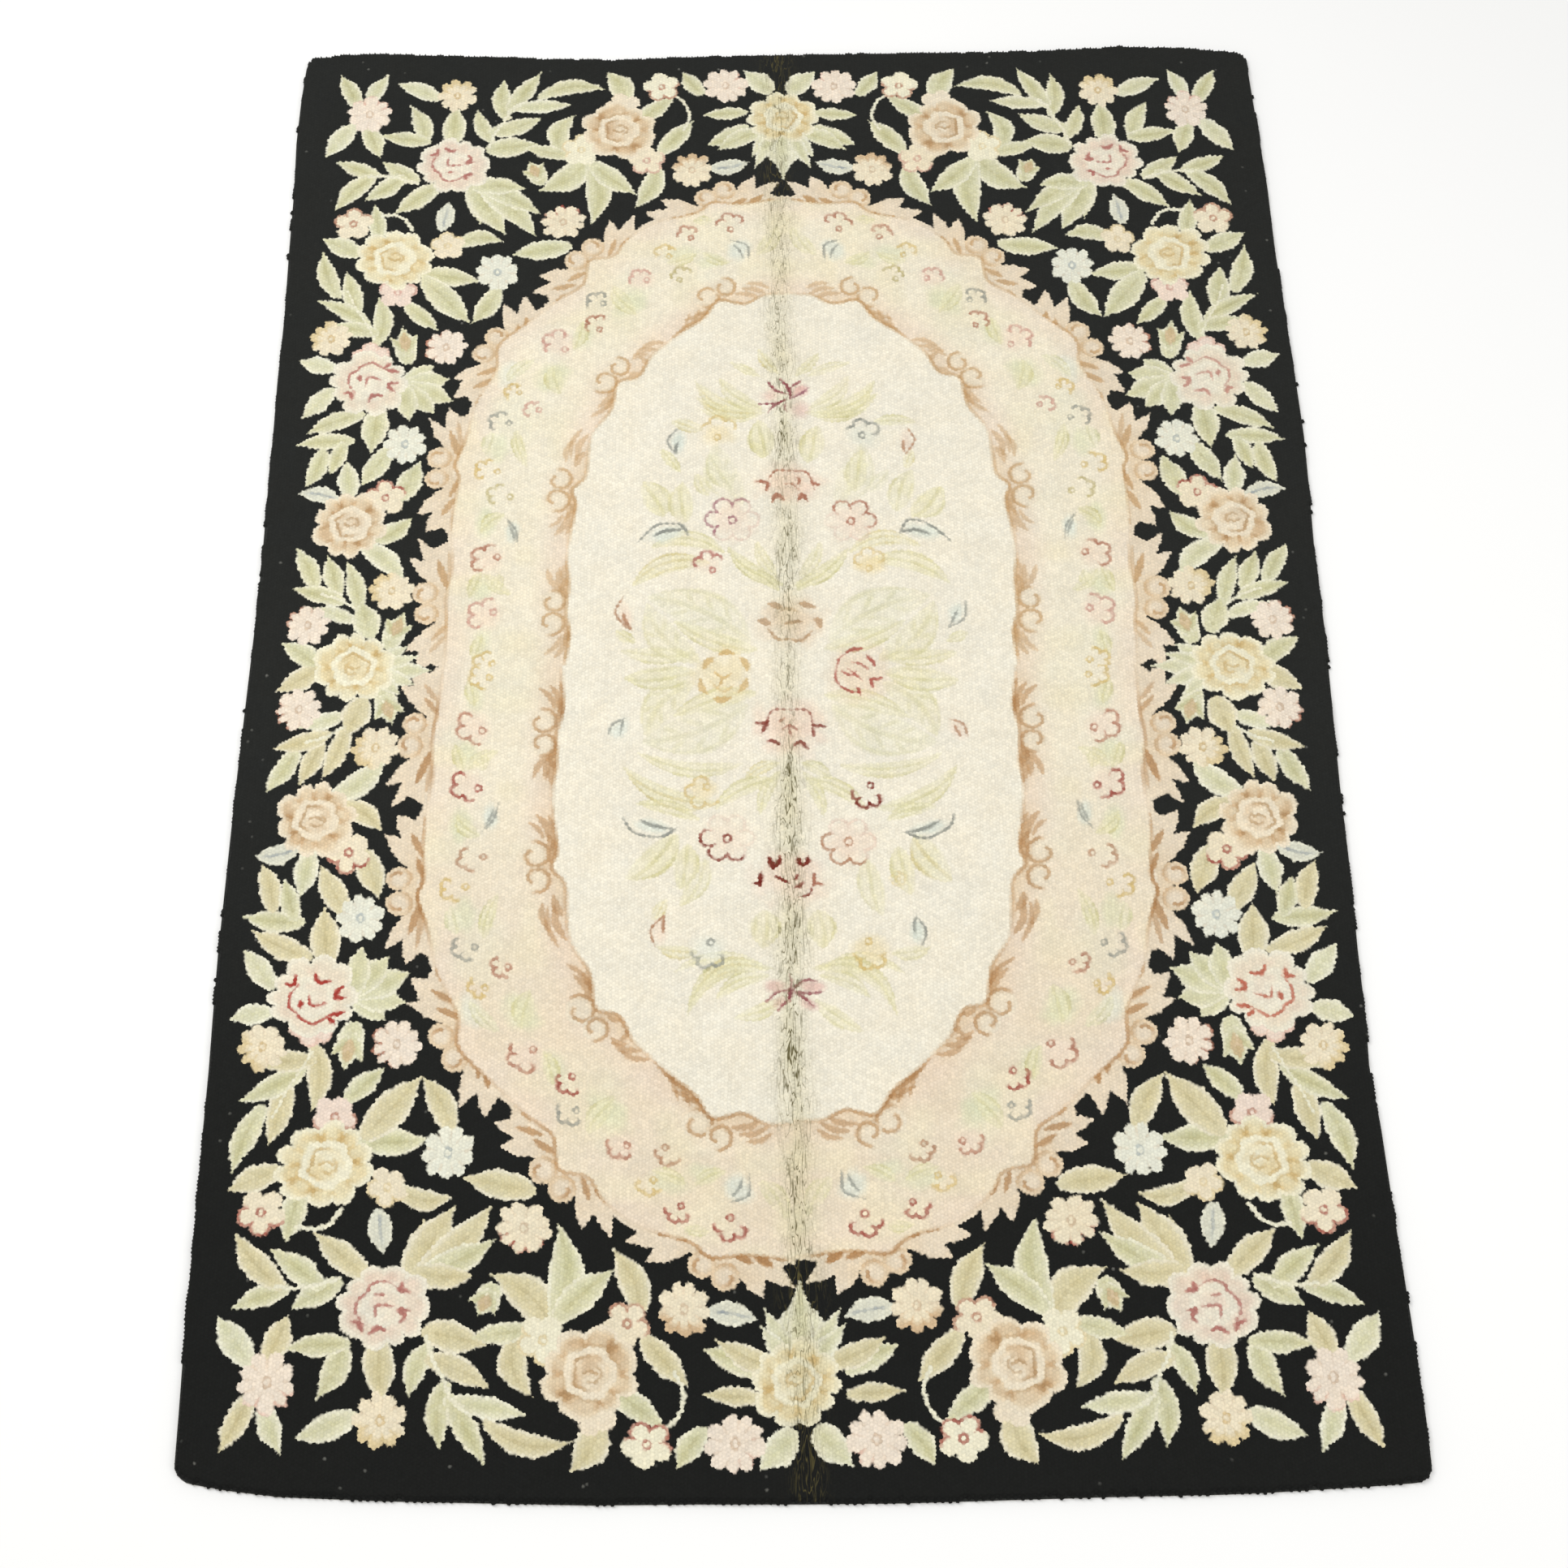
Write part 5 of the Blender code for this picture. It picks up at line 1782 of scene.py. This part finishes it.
def wool_material():
    """Worsted wool yarn: soft sheen, two-ply twist and stray fibres."""
    material = bpy.data.materials.new("hooked_wool")
    tree, shader = nodes_of(material)
    shader.inputs["Roughness"].default_value = 0.92
    shader.inputs["Specular IOR Level"].default_value = 0.08
    shader.inputs["Sheen Weight"].default_value = 0.03
    shader.inputs["Sheen Roughness"].default_value = 0.55
    yarn = tree.nodes.new("ShaderNodeAttribute")
    yarn.attribute_name = "yarn"
    where = tree.nodes.new("ShaderNodeTexCoord")
    fibre = tree.nodes.new("ShaderNodeTexNoise")
    fibre.inputs["Scale"].default_value = 620
    fibre.inputs["Detail"].default_value = 1
    fibre.inputs["Roughness"].default_value = 0.6
    link(tree, where.outputs["Object"], fibre.inputs["Vector"])
    level = tree.nodes.new("ShaderNodeMapRange")
    level.inputs["From Min"].default_value = 0.3
    level.inputs["From Max"].default_value = 0.7
    level.inputs["To Min"].default_value = 0.935
    level.inputs["To Max"].default_value = 1.065
    link(tree, fibre.outputs["Fac"], level.inputs["Value"])
    mix = tree.nodes.new("ShaderNodeMix")
    mix.data_type = "RGBA"
    mix.blend_type = "MULTIPLY"
    mix.inputs["Factor"].default_value = 1.0
    link(tree, yarn.outputs["Color"], mix.inputs["A"])
    link(tree, level.outputs["Result"], mix.inputs["B"])
    # Thin wandering dark lines of painted shade where the rows part in the fold
    gap_shade_share = tree.nodes.new("ShaderNodeAttribute")
    gap_shade_share.attribute_name = "fold_gap_shade"
    stretch = tree.nodes.new("ShaderNodeVectorMath")
    stretch.operation = "MULTIPLY"
    stretch.inputs[1].default_value = (215, 36, 0)
    link(tree, where.outputs["Object"], stretch.inputs[0])
    gap_lines = tree.nodes.new("ShaderNodeTexNoise")
    gap_lines.inputs["Scale"].default_value = 1.0
    gap_lines.inputs["Detail"].default_value = 1
    gap_lines.inputs["Distortion"].default_value = 0.8
    link(tree, stretch.outputs["Vector"], gap_lines.inputs["Vector"])
    centred = tree.nodes.new("ShaderNodeMath")
    centred.operation = "SUBTRACT"
    centred.inputs[1].default_value = 0.5
    link(tree, gap_lines.outputs["Fac"], centred.inputs[0])
    flat = tree.nodes.new("ShaderNodeMath")
    flat.operation = "ABSOLUTE"
    link(tree, centred.outputs["Value"], flat.inputs[0])
    thin = tree.nodes.new("ShaderNodeMapRange")
    thin.inputs["From Min"].default_value = 0.0
    thin.inputs["From Max"].default_value = 0.045
    thin.inputs["To Min"].default_value = 1.3
    thin.inputs["To Max"].default_value = 0.0
    link(tree, flat.outputs["Value"], thin.inputs["Value"])
    depth = tree.nodes.new("ShaderNodeMath")
    depth.operation = "MULTIPLY"
    link(tree, thin.outputs["Result"], depth.inputs[0])
    link(tree, gap_shade_share.outputs["Fac"], depth.inputs[1])
    gap_shaded = tree.nodes.new("ShaderNodeMix")
    gap_shaded.data_type = "RGBA"
    gap_shaded.inputs["B"].default_value = (0.11, 0.092, 0.034, 1)
    link(tree, depth.outputs["Value"], gap_shaded.inputs["Factor"])
    link(tree, mix.outputs["Result"], gap_shaded.inputs["A"])
    link(tree, gap_shaded.outputs["Result"], shader.inputs["Base Color"])
    twist = tree.nodes.new("ShaderNodeTexNoise")
    twist.inputs["Scale"].default_value = 480
    twist.inputs["Detail"].default_value = 1.5
    twist.inputs["Roughness"].default_value = 0.65
    link(tree, where.outputs["Object"], twist.inputs["Vector"])
    bump = tree.nodes.new("ShaderNodeBump")
    bump.inputs["Strength"].default_value = 0.5
    bump.inputs["Distance"].default_value = 0.0007
    link(tree, twist.outputs["Fac"], bump.inputs["Height"])
    link(tree, bump.outputs["Normal"], shader.inputs["Normal"])
    return material


def cloth_material():
    """Plain-woven cotton ground with the wool's colours coming through it."""
    material = bpy.data.materials.new("cotton_ground")
    tree, shader = nodes_of(material)
    shader.inputs["Roughness"].default_value = 0.88
    shader.inputs["Specular IOR Level"].default_value = 0.2
    yarn = tree.nodes.new("ShaderNodeAttribute")
    yarn.attribute_name = "yarn"
    where = tree.nodes.new("ShaderNodeTexCoord")
    heights = []
    for axis in ("X", "Y"):
        thread = tree.nodes.new("ShaderNodeTexWave")
        thread.wave_type = "BANDS"
        thread.bands_direction = axis
        thread.inputs["Scale"].default_value = 105
        thread.inputs["Distortion"].default_value = 1.1
        thread.inputs["Detail"].default_value = 2
        thread.inputs["Detail Scale"].default_value = 2
        link(tree, where.outputs["Object"], thread.inputs["Vector"])
        heights.append(thread)
    weave = tree.nodes.new("ShaderNodeMath")
    weave.operation = "MULTIPLY"
    link(tree, heights[0].outputs["Fac"], weave.inputs[0])
    link(tree, heights[1].outputs["Fac"], weave.inputs[1])
    level = tree.nodes.new("ShaderNodeMapRange")
    level.inputs["To Min"].default_value = 0.72
    level.inputs["To Max"].default_value = 1.06
    link(tree, weave.outputs["Value"], level.inputs["Value"])
    mix = tree.nodes.new("ShaderNodeMix")
    mix.data_type = "RGBA"
    mix.blend_type = "MULTIPLY"
    mix.inputs["Factor"].default_value = 1.0
    link(tree, yarn.outputs["Color"], mix.inputs["A"])
    link(tree, level.outputs["Result"], mix.inputs["B"])
    link(tree, mix.outputs["Result"], shader.inputs["Base Color"])
    bump = tree.nodes.new("ShaderNodeBump")
    bump.inputs["Strength"].default_value = 0.5
    bump.inputs["Distance"].default_value = 0.0004
    link(tree, weave.outputs["Value"], bump.inputs["Height"])
    link(tree, bump.outputs["Normal"], shader.inputs["Normal"])
    return material


# ---------------------------------------------------------------- camera, light and floor
def make_camera():
    data = bpy.data.cameras.new("camera")
    data.sensor_width = 36.0
    data.lens = 59.77
    data.shift_x = 0.0588
    data.shift_y = 0.0001
    data.clip_end = 50
    obj = bpy.data.objects.new("camera", data)
    bpy.context.scene.collection.objects.link(obj)
    right, up, back = (0.999967, 0.001910, -0.007958), (0.002089, 0.880600, 0.473855), (0.007913, -0.473856, 0.880567)
    place = (-0.0871, -1.5093, 2.5290)
    turn = Matrix((
        (right[0], up[0], back[0], place[0]),
        (right[1], up[1], back[1], place[1]),
        (right[2], up[2], back[2], place[2]),
        (0, 0, 0, 1),
    ))
    obj.matrix_world = turn
    bpy.context.scene.camera = obj


def aim(obj, place, target):
    from mathutils import Vector

    obj.location = place
    obj.rotation_euler = (Vector(target) - Vector(place)).to_track_quat("-Z", "Y").to_euler()


def make_light():
    scene = bpy.context.scene
    world = bpy.data.worlds.new("studio")
    world.use_nodes = True
    world.node_tree.nodes["Background"].inputs["Color"].default_value = (1.0, 0.995, 0.985, 1)
    world.node_tree.nodes["Background"].inputs["Strength"].default_value = 0.59
    scene.world = world
    for name, place, size, power in (
        ("key", (-1.5, 0.6, 3.0), 1.6, 58),
        ("fill", (1.9, -1.2, 2.9), 2.4, 35),
    ):
        data = bpy.data.lights.new(name, "AREA")
        data.shape = "SQUARE"
        data.size = size
        data.energy = power
        obj = bpy.data.objects.new(name, data)
        scene.collection.objects.link(obj)
        aim(obj, place, (0, 0, 0))
    scene.view_settings.view_transform = "Standard"


def make_floor():
    mesh = bpy.data.meshes.new("floor")
    s = 6.0
    mesh.from_pydata([(-s, -s, 0), (s, -s, 0), (s, s, 0), (-s, s, 0)], [], [(0, 1, 2, 3)])
    obj = bpy.data.objects.new("floor", mesh)
    bpy.context.scene.collection.objects.link(obj)
    material = bpy.data.materials.new("pale_floor")
    tree, shader = nodes_of(material)
    shader.inputs["Base Color"].default_value = (0.90, 0.90, 0.89, 1)
    shader.inputs["Roughness"].default_value = 0.9
    shader.inputs["Specular IOR Level"].default_value = 0.1
    mesh.materials.append(material)


make_camera()
make_light()
make_floor()

wool = wool_material()
cloth = cloth_material()
blocks = make_pile()
for block in blocks:
    block.data.materials.append(wool)
    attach(block, "root")
ground = make_ground()
ground.data.materials.append(cloth)
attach(ground, "root")
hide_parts("rug")
